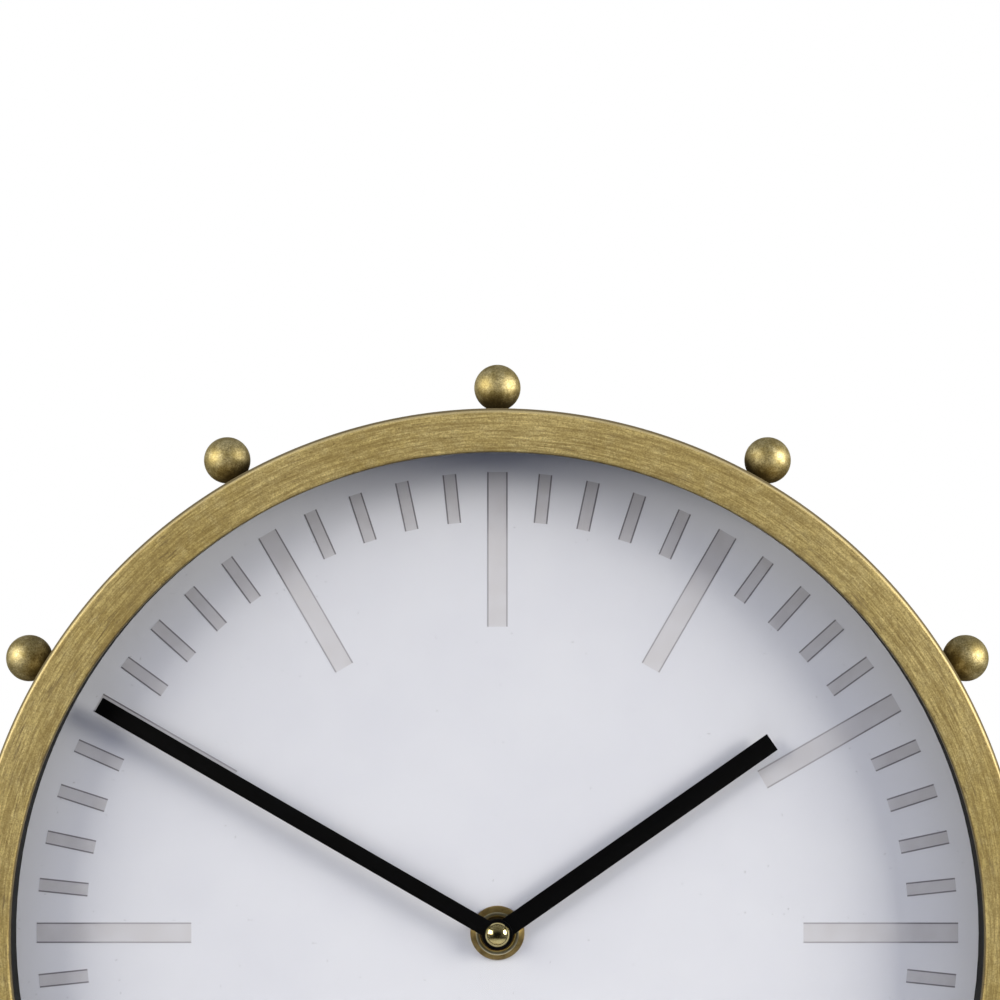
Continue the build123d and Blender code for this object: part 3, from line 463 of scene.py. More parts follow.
def paint_light_and_shade_behind_face(wire, metal, radius, height):
    """Brass behind the bezel's brushed face: a pale painted highlight on the outer edge, then painted shade
    from the edge back along the skirt, darkest on the lip at the glass; further back the skirt and the drum
    are a darker brass."""
    outside = rise(wire, radius, LIP_SIDE, RIM_SIDE)
    # A pale cream band along the outer edge of the face: a painted highlight.
    painted_highlight = rise(wire, height, BEZEL_FRONT - PAINTED_EDGE_START, BEZEL_FRONT - PAINTED_HIGHLIGHT_END) * outside
    metal = blend(wire, painted_highlight * 0.35, metal, paint(228, 214, 172))
    # Painted shade: a dark band from the face edge back along the skirt and on the lip at the glass; further
    # back the skirt and drum keep only a darker brass.
    below_edge = rise(wire, height, BEZEL_FRONT - PAINTED_SHADE_DEPTH, BEZEL_FRONT - PAINTED_SHADE_FULL_DEPTH)
    near_edge = rise(wire, height, BEZEL_FRONT - SKIRT_SHADE_FAR, BEZEL_FRONT - SKIRT_SHADE_NEAR)
    skirt_shade = (0.35 + below_edge * near_edge * 0.65) * below_edge * outside
    lip_shade = rise(wire, height, BEZEL_FRONT - PAINTED_EDGE_START, BEZEL_FRONT - PAINTED_SHADE_DEPTH) * (1 - outside)
    painted_dark = blend(wire, outside, paint(40, 32, 20), paint(96, 80, 50))
    return blend(wire, (skirt_shade + lip_shade) * 0.72, metal, painted_dark)


def stand_up(piece):
    """Turns a piece that was drawn facing up z to face the viewer, with its axis on the hands' axis."""
    piece.rotation_euler = (pi / 2, 0, 0)
    piece.location = (0, 0, CENTRE)
    bpy.ops.object.transform_apply(location=True, rotation=True, scale=True)


bead_radius = BAND_RADIUS + BAND_BEAD
bead_front = BAND_BACK + BAND_BEAD_LENGTH
band = lathe("drum_band", [
    (BAND_BORE, BAND_FRONT),
    (BAND_RADIUS, BAND_FRONT),
    (BAND_RADIUS, bead_front),
    (bead_radius, bead_front),
    (bead_radius, BAND_BACK),
    (BAND_BORE, BAND_BACK),
    (BAND_BORE, FLANGE_BACK),
    (FLANGE_BORE, FLANGE_BACK),
    (FLANGE_BORE, FLANGE_FRONT),
    (BAND_BORE, FLANGE_FRONT),
    (BAND_BORE, BAND_FRONT),
], 320)
round_loop(band, bead_radius, bead_front, BEAD_ROUND, 5)
round_loop(band, bead_radius, BAND_BACK, BEAD_ROUND, 5)
round_loop(band, BAND_BORE, BAND_BACK, BAND_BORE_ROUND, 4)
close_up()
stand_up(band)
# The brass of bezel and drum, with a painted highlight and painted shade behind the face.
facing_brass = aged_brass("facing_brass", (0, -CENTRE, 0), (-pi / 2, 0, 0), paint_light_and_shade_behind_face)
fit(band, facing_brass, "antique_brass", "case", "case_band")

# Bezel
# A ring pressed from brass sheet. Its flat face is brushed round the dial, the outer edge breaks sharply into
# a steep shoulder above a deep skirt round the drum, and a short lip turns in to hold the glass.
BEZEL_OPENING = 0.1288
BEZEL_SHEET = 0.0012
BEZEL_LIP_BACK = 0.0224
SKIRT_BACK = -0.0135
SHOULDER_WIDTH = 0.0009
SHOULDER_DEPTH = 0.0022
FACE_EDGE_ROUND = 0.0006
SHOULDER_ROUND = 0.0008
BEZEL_INNER_ROUND = 0.0009
SKIRT_EDGE_ROUND = 0.0005

sheet_back = BEZEL_FRONT - BEZEL_SHEET
face_edge = RIM_RADIUS - SHOULDER_WIDTH
shoulder_back = BEZEL_FRONT - SHOULDER_DEPTH
bezel = lathe("bezel_pressing", [
    (BEZEL_OPENING, BEZEL_LIP_BACK),
    (BEZEL_OPENING, BEZEL_FRONT),
    (face_edge, BEZEL_FRONT),
    (RIM_RADIUS, shoulder_back),
    (RIM_RADIUS, SKIRT_BACK),
    (RIM_RADIUS - BEZEL_SHEET, SKIRT_BACK),
    (RIM_RADIUS - BEZEL_SHEET, sheet_back),
    (BEZEL_OPENING + BEZEL_SHEET, sheet_back),
    (BEZEL_OPENING + BEZEL_SHEET, BEZEL_LIP_BACK),
    (BEZEL_OPENING, BEZEL_LIP_BACK),
], 384)
round_loop(bezel, face_edge, BEZEL_FRONT, FACE_EDGE_ROUND, 8)
round_loop(bezel, RIM_RADIUS, shoulder_back, SHOULDER_ROUND, 4)
round_loop(bezel, BEZEL_OPENING, BEZEL_FRONT, BEZEL_INNER_ROUND, 8)
round_loop(bezel, RIM_RADIUS, SKIRT_BACK, SKIRT_EDGE_ROUND, 4)
close_up()
stand_up(bezel)
fit(bezel, facing_brass, "antique_brass", "case", "bezel_ring")

# Balls at the hours
# Solid brass balls, tumbled to a satin and darkened like the rim. Each is flattened where it sits on the
# skirt, and its stud goes through skirt and drum to a nut inside, which clamps the two together.
ball_low, ball_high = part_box("rim_ball_12")
BALL_RADIUS = ball_high.x
BALL_CIRCLE = ball_high.z - CENTRE - BALL_RADIUS
BALL_SEAT = 0.00002
STUD_RADIUS = 0.0015
STUD_END = ball_low.z - CENTRE
BALL_STEPS = 48
BALL_SMOOTH_ANGLE = 50
POST_HOUR = 6
SEAT_SHADE_FULL = 0.0020
SEAT_SHADE_END = 0.0070


def about_hands(wire):
    """The place of a point measured from the hands' axis, and its distance from that axis."""
    where = wire.node(
        "ShaderNodeMapping", {}, {"Vector": place_on_piece(wire), "Location": (0, 0, -CENTRE)}
    )
    across = wire.vector("MULTIPLY", where, (1, 0, 1))
    return where, wire.vector("LENGTH", across, output="Value")


def tumbled_brass(name):
    """Brass tumbled to a satin: fine scuffs all ways, and painted shade, dark brown, on the side that meets
    the rim.
    """
    material, wire = new_finish(name)
    where = place_on_piece(wire)
    out = about_hands(wire)[1] - RIM_RADIUS
    scuffs = noise(wire, where, 2400, 5, 0.7)
    patches = rise(wire, noise(wire, where, 330, 4, 0.6), 0.35, 0.70)
    pits = rise(wire, noise(wire, where, 1500, 2), 0.64, 0.76)
    # Painted shade: each ball darkens towards the rim, where it sits on the skirt.
    seat_shade = rise(wire, out + patches * 0.001, SEAT_SHADE_END, SEAT_SHADE_FULL)
    metal = blend(wire, patches, paint(186, 170, 115), paint(230, 217, 168))
    metal = blend(wire, rise(wire, scuffs, 0.64, 0.32) * 0.7, metal, paint(106, 87, 47))
    metal = blend(wire, pits * 0.6, metal, paint(90, 71, 38))
    surface(wire, {
        "Base Color": blend(wire, seat_shade * 0.9, metal, paint(48, 38, 22)),
        "Metallic": 0.94 - pits * 0.3,
        "Roughness": 0.47 + scuffs * 0.14,
        "Normal": relief(wire, scuffs, 0.00006),
    })
    return material


seat = RIM_RADIUS - BALL_SEAT
seat_angle = acos((seat - BALL_CIRCLE) / BALL_RADIUS)
ball_profile = [(STUD_RADIUS / 2, STUD_END), (STUD_RADIUS, STUD_END), (STUD_RADIUS, seat)]
for step in range(BALL_STEPS):
    angle = seat_angle * (1 - step / BALL_STEPS)
    ball_profile.append((BALL_RADIUS * sin(angle), BALL_CIRCLE + BALL_RADIUS * cos(angle)))
ball_profile.append((0, BALL_CIRCLE + BALL_RADIUS))
ball = lathe("ball", ball_profile, 64)
fill_loop(ball, STUD_RADIUS / 2, STUD_END)
close_up(BALL_SMOOTH_ANGLE)
satin_brass = tumbled_brass("satin_brass")
ball_hours = [hour for hour in range(1, 13) if hour != POST_HOUR]
for hour in ball_hours:
    hour_ball = copy_of(ball, f"ball_at_{hour:02d}")
    hour_ball.rotation_euler = (-pi / 2, 0, -hour * pi / 6)
    bpy.ops.object.transform_apply(rotation=True)
    stand_up(hour_ball)
    fit(hour_ball, satin_brass, "antique_brass", "case", f"rim_ball_{hour:02d}")
bpy.data.objects.remove(ball)
dress(zinc, "ball_nuts")

# Glass and its spacer
# A flat disc of clear glass lies behind the bezel's lip, and a matt black ring of card keeps it off the dial
# and makes the dark wall that shows between bezel and dial.


def clear_glass(name):
    """Clear glass: a mirror at a glancing angle, with a little dust that catches the light."""
    material, wire = new_finish(name)
    gloss = wire.node("ShaderNodeFresnel", {}, {"IOR": 1.5})
    behind = wire.node("ShaderNodeNewGeometry", {}, {}, "Backfacing")
    dust = rise(wire, noise(wire, place_on_piece(wire), 900, 3, 0.7), 0.72, 0.86)
    mirror = wire.node("ShaderNodeBsdfGlossy", {}, {"Color": (1, 1, 1, 1), "Roughness": 0.01})
    through = wire.node("ShaderNodeBsdfTransparent", {}, {"Color": (0.988, 0.99, 0.989, 1)})
    share = (gloss + dust * 0.02) * (1 - behind)
    mixed = wire.node("ShaderNodeMixShader", {}, {0: share, 1: through, 2: mirror})
    wire.node("ShaderNodeOutputMaterial", {}, {"Surface": mixed})
    return material


def matt_card(name):
    """Matt black card with a slight fibre."""
    material, wire = new_finish(name)
    where = place_on_piece(wire)
    fibre = noise(wire, where, 1400, 4, 0.6)
    surface(wire, {
        "Base Color": blend(wire, fibre, paint(7, 7, 8), paint(18, 18, 18)),
        "Roughness": 0.80 + fibre * 0.12,
        "Specular IOR Level": 0.2,
        "Normal": relief(wire, fibre, 0.00004),
    })
    return material


dress(clear_glass("clear_glass"), "front_glass")
dress(matt_card("black_card"), "glass_spacer")

# Dial
# A sheet of matt white paper with a cold tint, glued to a pressed fibre board that four steel angles hold in
# the drum. The paper has a few specks and faint fibres.
PAPER_WHITE = paint(220, 220, 226)


def dial_paper(name):
    """Matt white paper: faint clouds and fibres, and a few grey specks."""
    material, wire = new_finish(name)
    where = place_on_piece(wire)
    fibre = noise(wire, where, 900, 5, 0.65)
    cloud = rise(wire, noise(wire, where, 36, 3), 0.30, 0.70)
    specks = rise(wire, noise(wire, where, 1300, 0), 0.83, 0.88)
    sheet = blend(wire, cloud, PAPER_WHITE, paint(224, 224, 229))
    sheet = blend(wire, fibre * 0.25, sheet, paint(209, 210, 217))
    surface(wire, {
        "Base Color": blend(wire, specks * 0.4, sheet, paint(150, 148, 150)),
        "Roughness": 0.86 + fibre * 0.10,
        "Specular IOR Level": 0.3,
        "Normal": relief(wire, fibre, 0.00002),
    })
    return material


def fibre_board(name):
    """Brown hardboard: pressed wood fibre, flecked light and dark."""
    material, wire = new_finish(name)
    where = place_on_piece(wire)
    fibre = noise(wire, where, 700, 6, 0.75)
    cloud = rise(wire, noise(wire, where, 60, 4), 0.30, 0.70)
    board = blend(wire, fibre, paint(84, 58, 36), paint(150, 114, 78))
    surface(wire, {
        "Base Color": blend(wire, cloud * 0.35, board, paint(112, 82, 54)),
        "Roughness": 0.70 + fibre * 0.20,
        "Normal": relief(wire, fibre, 0.00012),
    })
    return material


dress(dial_paper("dial_print"), "dial_sheet")
dress(fibre_board("hardboard"), "dial_board")
dress(zinc, "dial_brackets")

# Printed bars
# Sixty bars in warm grey ink, long and wide at the hours, short and narrow between them, each with a thin
# dark line down its two long sides. The ink stands a few hundredths of a millimetre above the paper.
DIAL_FRONT = -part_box("dial_sheet")[0].y
INK_HEIGHT = 0.00003
BAR_OUTER_END = 0.1237
HOUR_BAR_INNER_END = 0.0822
HOUR_BAR_WIDTH = 0.0055
MINUTE_BAR_INNER_END = 0.1105
MINUTE_BAR_WIDTH = 0.0037
BAR_LINE = 0.0004
INK_SHADE_START = 0.104
INK_SHADE_FULL = 0.114


def printed_ink(name, outer, inner, thinning, roughness):
    """Ink on paper, darkened towards the rim as painted shade from the bezel, with the paper showing where it
    is thin.
    """
    material, wire = new_finish(name)
    where, radius = about_hands(wire)
    grain = noise(wire, where, 1500, 4, 0.65)
    thin = rise(wire, noise(wire, where, 160, 3), 0.30, 0.70)
    # Painted shade: the ink goes from its paler tone to its darker tone towards the rim.
    ink = blend(wire, rise(wire, radius, INK_SHADE_START, INK_SHADE_FULL), inner, outer)
    surface(wire, {
        "Base Color": blend(wire, (thin + grain * 0.5) * thinning, ink, PAPER_WHITE),
        "Roughness": roughness + grain * 0.1,
        "Specular IOR Level": 0.3,
        "Normal": relief(wire, grain, 0.00001),
    })
    return material


def print_bars(name, strips, inner_end, minutes, material):
    """Prints a set of bars. Each strip is (left side, right side) across a bar that points at twelve."""
    printed = []
    for left, right in strips:
        bpy.ops.object.select_all(action="DESELECT")
        bpy.ops.mesh.primitive_plane_add(size=1)
        bar = bpy.context.object
        bar.scale = (right - left, BAR_OUTER_END - inner_end, 1)
        bar.location = ((left + right) / 2, (BAR_OUTER_END + inner_end) / 2, DIAL_FRONT)
        bpy.ops.object.transform_apply(location=True, scale=True)
        bpy.ops.object.mode_set(mode="EDIT")
        bpy.ops.mesh.select_all(action="SELECT")
        bpy.ops.mesh.extrude_region()
        bpy.ops.transform.translate(value=(0, 0, INK_HEIGHT))
        bpy.ops.mesh.select_all(action="SELECT")
        bpy.ops.mesh.normals_make_consistent(inside=False)
        bpy.ops.object.mode_set(mode="OBJECT")
        for minute in minutes:
            turned = copy_of(bar, name)
            turned.rotation_euler = (0, 0, -minute * pi / 30)
            bpy.ops.object.transform_apply(rotation=True)
            printed.append(turned)
        bpy.data.objects.remove(bar)
    bpy.ops.object.select_all(action="DESELECT")
    for bar in printed:
        bar.select_set(True)
    bpy.context.view_layer.objects.active = printed[0]
    bpy.ops.object.join()
    bars = bpy.context.object
    bars.name = name
    stand_up(bars)
    fit(bars, material, "dial_print", "case")


def fill_strip(width):
    """The grey strip between the two lines of a bar."""
    return [(-width / 2 + BAR_LINE, width / 2 - BAR_LINE)]


def line_strips(width):
    """The two lines along the sides of a bar."""
    return [(-width / 2, -width / 2 + BAR_LINE), (width / 2 - BAR_LINE, width / 2)]


# Each ink's first colour is its painted-shade tone at the rim, the second its tone towards the middle.
grey_ink = printed_ink("grey_ink", paint(188, 185, 188), paint(204, 201, 203), 0.25, 0.72)
line_ink = printed_ink("line_ink", paint(121, 117, 122), paint(166, 163, 167), 0.05, 0.66)
on_hours = range(0, 60, 5)
between_hours = [minute for minute in range(60) if minute % 5]
print_bars("hour_bar_fill", fill_strip(HOUR_BAR_WIDTH), HOUR_BAR_INNER_END, on_hours, grey_ink)
print_bars("hour_bar_lines", line_strips(HOUR_BAR_WIDTH), HOUR_BAR_INNER_END, on_hours, line_ink)
print_bars("minute_bar_fill", fill_strip(MINUTE_BAR_WIDTH), MINUTE_BAR_INNER_END, between_hours, grey_ink)
print_bars("minute_bar_lines", line_strips(MINUTE_BAR_WIDTH), MINUTE_BAR_INNER_END, between_hours, line_ink)

# Movement
# A battery movement with a moulded black case and cover. Inside are white acetal wheels, a steel stator with
# a copper coil, a magnet on the rotor, and a green circuit board with its crystal.


def moulded_plastic(name, light, dark, gloss):
    """Moulded plastic with a fine spark-eroded texture and slight flow marks."""
    material, wire = new_finish(name)
    where = place_on_piece(wire)
    texture = noise(wire, where, 3200, 3, 0.6)
    flow = rise(wire, noise(wire, where, 110, 4), 0.30, 0.70)
    surface(wire, {
        "Base Color": blend(wire, flow, dark, light),
        "Roughness": gloss + texture * 0.14,
        "Normal": relief(wire, texture, 0.00003),
    })
    return material


def bare_metal(name, light, dark, rough):
    """A stamped or wound metal part: fine scratches and slight stains."""
    material, wire = new_finish(name)
    where = place_on_piece(wire)
    scratches = noise(wire, wire.vector("MULTIPLY", where, (1, 1, 9)), 900, 4, 0.65)
    stains = rise(wire, noise(wire, where, 260, 4), 0.35, 0.72)
    surface(wire, {
        "Base Color": blend(wire, stains, light, dark),
        "Metallic": 1.0,
        "Roughness": rough + scratches * 0.15,
        "Normal": relief(wire, scratches, 0.00002),
    })
    return material


black_plastic = moulded_plastic("movement_black", paint(40, 40, 42), paint(28, 28, 30), 0.42)
acetal = moulded_plastic("white_acetal", paint(236, 234, 228), paint(224, 221, 213), 0.34)
dress(black_plastic, "movement_case", "movement_cover", "setting_knob")
dress(acetal, "hour_wheel", "centre_wheel", "motion_wheel", "third_wheel", "coil_bobbin")
dress(bare_metal("magnet", paint(92, 92, 96), paint(70, 69, 72), 0.45), "rotor")
dress(bare_metal("stator_steel", paint(186, 186, 188), paint(158, 156, 154), 0.36), "stator")
dress(bare_metal("copper_wire", paint(201, 122, 78), paint(168, 88, 52), 0.32), "coil_winding")
dress(bare_metal("crystal_can", paint(214, 214, 216), paint(192, 192, 194), 0.22), "quartz_crystal")
dress(bare_metal("spring_steel", paint(206, 202, 190), paint(184, 178, 162), 0.26), "positive_contact",
      "negative_contact")
dress(moulded_plastic("green_board", paint(44, 124, 78), paint(26, 96, 58), 0.24), "circuit_board")
dress(rubber, "rubber_washer")

# Bush and nut
# The movement's threaded brass bush comes through the dial, and a low flanged nut with a sloping skirt and a
# raised ridge clamps it. Both are turned from bar and left bright, the nut a little browner.
NUT_RADIUS = 0.0073
NUT_RIDGE_RADIUS = 0.0058
NUT_RIDGE_WIDTH = 0.0008
NUT_SLOPE = 0.0005
NUT_SUNK = 0.0005
NUT_BORE = 0.0040
NUT_RIM = 0.0006
NUT_HEIGHT = 0.0020
NUT_EDGE_ROUND = 0.00036
NUT_SMOOTH_ANGLE = 25
RIDGE_PAINT_FADE = 0.0001


def turned_brass(name, light, dark, rough, ridge=None):
    """Bright brass from the lathe, with rings left by the tool and a thin warm tarnish.
    Where the two radii of a ridge are given, the ridge gets a pale painted highlight, and what lies inside it
    a dull painted shade."""
    material, wire = new_finish(name)
    where, ring = about_hands(wire)
    step = wire.node("ShaderNodeCombineXYZ", {}, {"X": ring * 5200})
    rings = noise(wire, step, 1, 3)
    tarnish = rise(wire, noise(wire, where, 420, 4, 0.6), 0.30, 0.72)
    metal = blend(wire, tarnish, light, dark)
    if ridge:
        inner, outer = ridge
        # A painted highlight on the ridge, then painted shade in the hollow inside it.
        metal = blend(wire, rise(wire, ring, outer, outer - RIDGE_PAINT_FADE), metal, paint(238, 228, 192))
        metal = blend(wire, rise(wire, ring, inner, inner - RIDGE_PAINT_FADE), metal, paint(120, 104, 72))
    surface(wire, {
        "Base Color": metal,
        "Metallic": 1.0,
        "Roughness": rough + rings * 0.10 + tarnish * 0.06,
        "Normal": relief(wire, rings, 0.00001),
    })
    return material


ridge_top = DIAL_FRONT + NUT_HEIGHT
ridge_inner = NUT_RIDGE_RADIUS - NUT_RIDGE_WIDTH
nut = lathe("dial_nut_turning", [
    (NUT_BORE, DIAL_FRONT),
    (NUT_RADIUS, DIAL_FRONT),
    (NUT_RADIUS, DIAL_FRONT + NUT_RIM),
    (NUT_RIDGE_RADIUS, ridge_top),
    (ridge_inner, ridge_top),
    (ridge_inner - NUT_SLOPE, ridge_top - NUT_SUNK),
    (NUT_BORE, ridge_top - NUT_SUNK),
    (NUT_BORE, DIAL_FRONT),
], 128)
round_loop(nut, NUT_RADIUS, DIAL_FRONT + NUT_RIM, NUT_EDGE_ROUND, 4)
round_loop(nut, NUT_RIDGE_RADIUS, ridge_top, NUT_EDGE_ROUND, 6)
round_loop(nut, ridge_inner, ridge_top, NUT_EDGE_ROUND, 6)
close_up(NUT_SMOOTH_ANGLE)
stand_up(nut)
ridge = (ridge_inner - NUT_SLOPE / 2, NUT_RIDGE_RADIUS)
nut_brass = turned_brass("nut_brass", paint(158, 136, 84), paint(116, 97, 57), 0.26, ridge)
fit(nut, nut_brass, "turned_brass", "case", "dial_nut")
bright_brass = turned_brass("bright_brass", paint(232, 208, 136), paint(216, 188, 112), 0.14)
dress(bright_brass, "threaded_bush", "minute_arbor")

# Hands
# Two straight bars stamped from thin sheet and painted satin black, each with a round hub. The hour hand is
# pushed onto the pipe of its wheel, the minute hand sits on the threaded end of the arbor.
HAND_SHEET = 0.0005
HAND_EDGE = 0.00008
HUB_PROUD = 0.00002
hour_low, hour_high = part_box("hour_hand")
HOUR_HAND_BACK = -hour_low.y - HAND_SHEET
HOUR_HAND_LENGTH = 0.0898
HOUR_HAND_WIDTH = 0.0051
HOUR_HUB_RADIUS = 0.0042
COLLET_BACK = -hour_high.y
COLLET_RADIUS = 0.0038
COLLET_BORE = 0.0027
COLLET_ROUND = 0.00016
HOUR_HAND_ANGLE = 55
MINUTE_HAND_BACK = -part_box("minute_hand")[0].y - HAND_SHEET
MINUTE_HAND_LENGTH = 0.1230
MINUTE_HAND_WIDTH = 0.0044
MINUTE_HUB_RADIUS = 0.0041
MINUTE_HAND_ANGLE = 300


def satin_paint(name):
    """Satin black paint on sheet metal, with a faint orange-peel and a little dust."""
    material, wire = new_finish(name)
    where = place_on_piece(wire)
    peel = noise(wire, where, 1300, 3)
    dust = rise(wire, noise(wire, where, 1100, 1), 0.78, 0.86)
    surface(wire, {
        "Base Color": blend(wire, dust * 0.15, paint(3, 3, 4), paint(96, 94, 90)),
        "Roughness": 0.36 + peel * 0.10,
        "Specular IOR Level": 0.08,
        "Normal": relief(wire, peel, 0.00002),
    })
    return material


def stamp_hand(name, back, length, width, hub_radius, angle):
    """A bar joined to a round hub, both with eased edges, drawn pointing at twelve and set to its angle."""
    front = back + HAND_SHEET
    hub_profile = [(hub_radius / 2, back), (hub_radius, back), (hub_radius, front), (0, front)]
    hub = lathe(name, hub_profile, 96)
    round_loop(hub, hub_radius, back, HAND_EDGE, 2)
    round_loop(hub, hub_radius, front, HAND_EDGE, 2)
    fill_loop(hub, hub_radius / 2, back)
    close_up()
    bpy.ops.object.select_all(action="DESELECT")
    bpy.ops.mesh.primitive_cube_add(size=1)
    bar = bpy.context.object
    bar.scale = (width, length, HAND_SHEET - 2 * HUB_PROUD)
    bar.location = (0, length / 2, back + HAND_SHEET / 2)
    bpy.ops.object.transform_apply(location=True, scale=True)
    bpy.ops.object.mode_set(mode="EDIT")
    bpy.ops.mesh.select_all(action="SELECT")
    bpy.ops.mesh.bevel(offset=HAND_EDGE, segments=2, affect="EDGES")
    close_up()
    combine(hub, bar, "UNION")
    hub.rotation_euler = (0, 0, -radians(angle))
    bpy.ops.object.transform_apply(rotation=True)
    return hub


black_paint = satin_paint("black_paint")
hour_hand = stamp_hand("hour_hand_stamping", HOUR_HAND_BACK, HOUR_HAND_LENGTH, HOUR_HAND_WIDTH,
                       HOUR_HUB_RADIUS, HOUR_HAND_ANGLE)
stand_up(hour_hand)
fit(hour_hand, black_paint, "black_paint", "hour_hand", "hour_hand")
collet = lathe("hour_hand_collet", [
    (COLLET_BORE, COLLET_BACK),
    (COLLET_RADIUS, COLLET_BACK),
    (COLLET_RADIUS, HOUR_HAND_BACK),
    (COLLET_BORE, HOUR_HAND_BACK),
    (COLLET_BORE, COLLET_BACK),
], 64)
round_loop(collet, COLLET_RADIUS, COLLET_BACK, COLLET_ROUND, 3)
close_up()
stand_up(collet)
fit(collet, black_paint, "black_paint", "hour_hand")
minute_hand = stamp_hand("minute_hand_stamping", MINUTE_HAND_BACK, MINUTE_HAND_LENGTH, MINUTE_HAND_WIDTH,
                         MINUTE_HUB_RADIUS, MINUTE_HAND_ANGLE)
stand_up(minute_hand)
fit(minute_hand, black_paint, "black_paint", "minute_hand", "minute_hand")

# Cap of the hands
# A small domed nut of polished brass on the end of the minute arbor. It keeps the minute hand in its place,
# and its dome mirrors the lights.
cap_low, cap_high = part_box("hand_cap")
CAP_BASE = -cap_high.y
CAP_RADIUS = cap_high.x
CAP_HEIGHT = cap_high.y - cap_low.y
CAP_RIM = 0.0001
CAP_STEPS = 14
CAP_FLAT_RADIUS = CAP_RADIUS * 0.6

dome = CAP_HEIGHT - CAP_RIM
dome_radius = (CAP_RADIUS**2 + dome**2) / (2 * dome)
dome_middle = CAP_BASE + CAP_HEIGHT - dome_radius
cap_profile = [(CAP_FLAT_RADIUS, CAP_BASE), (CAP_RADIUS, CAP_BASE)]
for step in range(CAP_STEPS):
    across = CAP_RADIUS * (1 - step / CAP_STEPS)
    cap_profile.append((across, dome_middle + sqrt(dome_radius**2 - across**2)))
cap_profile.append((0, CAP_BASE + CAP_HEIGHT))
cap = lathe("hand_cap_dome", cap_profile, 96)
fill_loop(cap, CAP_FLAT_RADIUS, CAP_BASE)
close_up()
stand_up(cap)
polished = turned_brass("polished_brass", paint(202, 190, 138), paint(184, 168, 112), 0.06)
fit(cap, polished, "turned_brass", "minute_hand", "hand_cap")

# Battery
# One AA cell with a plain dark wrap that is shrunk over both rims, a bare steel end at each side and a
# stepped positive button. It lies in the bay under the works and comes out through the rear window.
cell_low, cell_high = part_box("battery")
CELL_RADIUS = (cell_high.z - cell_low.z) / 2
CELL_BUTTON = 0.0010
CELL_BUTTON_RADIUS = 0.00275
CELL_RIM = 0.0005
CELL_RIM_WIDTH = 0.0012
CELL_ROUND = 0.0006
CELL_END_DISC = 0.0055
CELL_MIDDLE = (cell_low + cell_high) / 2
BARE_END_START = 0.0022
BARE_END_FULL = 0.0019
BARE_DISC_FULL = 0.0012
BARE_DISC_END = 0.0010
STRIPE_START = 0.0110
STRIPE_FULL = 0.0112


def shrunk_wrap(name, half_length, radius):
    """A battery's dark wrap, with bare steel where the wrap stops at the two ends."""
    material, wire = new_finish(name)
    where = wire.node(
        "ShaderNodeMapping", {}, {"Vector": place_on_piece(wire), "Location": -CELL_MIDDLE}
    )
    across = wire.vector("LENGTH", wire.vector("MULTIPLY", where, (0, 1, 1)), output="Value")
    along = wire.node("ShaderNodeSeparateXYZ", {}, {0: where}, "X")
    from_middle = wire.math("ABSOLUTE", along)
    near_end = rise(wire, from_middle, half_length - BARE_END_START, half_length - BARE_END_FULL)
    inside = 1 - rise(wire, across, radius - BARE_DISC_FULL, radius - BARE_DISC_END)
    bare = near_end * inside
    creases = noise(wire, wire.vector("MULTIPLY", where, (0.3, 1, 1)), 700, 4)
    cloud = rise(wire, noise(wire, where, 150, 3), 0.30, 0.70)
    wrap = blend(wire, cloud, paint(34, 40, 46), paint(44, 52, 60))
    stripe = rise(wire, along, STRIPE_START, STRIPE_FULL)
    wrap = blend(wire, stripe, wrap, paint(150, 154, 158))
    surface(wire, {
        "Base Color": blend(wire, bare, wrap, paint(204, 204, 204)),
        "Metallic": bare,
        "Roughness": 0.30 + creases * 0.08,
        "Normal": relief(wire, creases, 0.00001),
    })
    return material


half_cell = (cell_high.x - cell_low.x) / 2
shoulder = half_cell - CELL_BUTTON
rim_inner = CELL_RADIUS - CELL_RIM_WIDTH
disc_back = -half_cell + CELL_RIM / 2
cell = lathe("battery_cell", [
    (CELL_END_DISC, disc_back),
    (rim_inner, -half_cell + CELL_RIM),
    (rim_inner, -half_cell),
    (CELL_RADIUS, -half_cell),
    (CELL_RADIUS, shoulder),
    (rim_inner, shoulder),
    (rim_inner, shoulder - CELL_RIM),
    (CELL_BUTTON_RADIUS, shoulder - CELL_RIM),
    (CELL_BUTTON_RADIUS, half_cell),
    (0, half_cell),
], 96)
round_loop(cell, CELL_RADIUS, -half_cell, CELL_ROUND, 5)
round_loop(cell, CELL_RADIUS, shoulder, CELL_ROUND, 5)
round_loop(cell, CELL_BUTTON_RADIUS, half_cell, CELL_RIM, 4)
fill_loop(cell, CELL_END_DISC, disc_back)
close_up()
cell.rotation_euler = (0, pi / 2, 0)
cell.location = CELL_MIDDLE
bpy.ops.object.transform_apply(location=True, rotation=True)
fit(cell, shrunk_wrap("battery_can", half_cell, CELL_RADIUS), "battery_can", "battery", "battery")

# Rear cover
# A disc of sheet steel with a black powder coat, with a window for the battery and the setting knob. Six
# cross-recess screws hold it to the flange of the drum.


def powder_coat(name):
    """Black powder coat: a fine pebbled skin, a little greyer where it has been handled."""
    material, wire = new_finish(name)
    where = place_on_piece(wire)
    pebbles = noise(wire, where, 1100, 3, 0.6)
    handled = rise(wire, noise(wire, where, 26, 4, 0.6), 0.38, 0.72)
    coat = blend(wire, handled, paint(23, 23, 24), paint(33, 33, 34))
    surface(wire, {
        "Base Color": blend(wire, rise(wire, pebbles, 0.45, 0.70) * 0.4, coat, paint(46, 46, 47)),
        "Roughness": 0.44 + pebbles * 0.16 - handled * 0.06,
        "Normal": relief(wire, pebbles, 0.00012),
    })
    return material


dress(powder_coat("powder_coat"), "rear_cover")
dress(zinc, "rear_cover_screws")

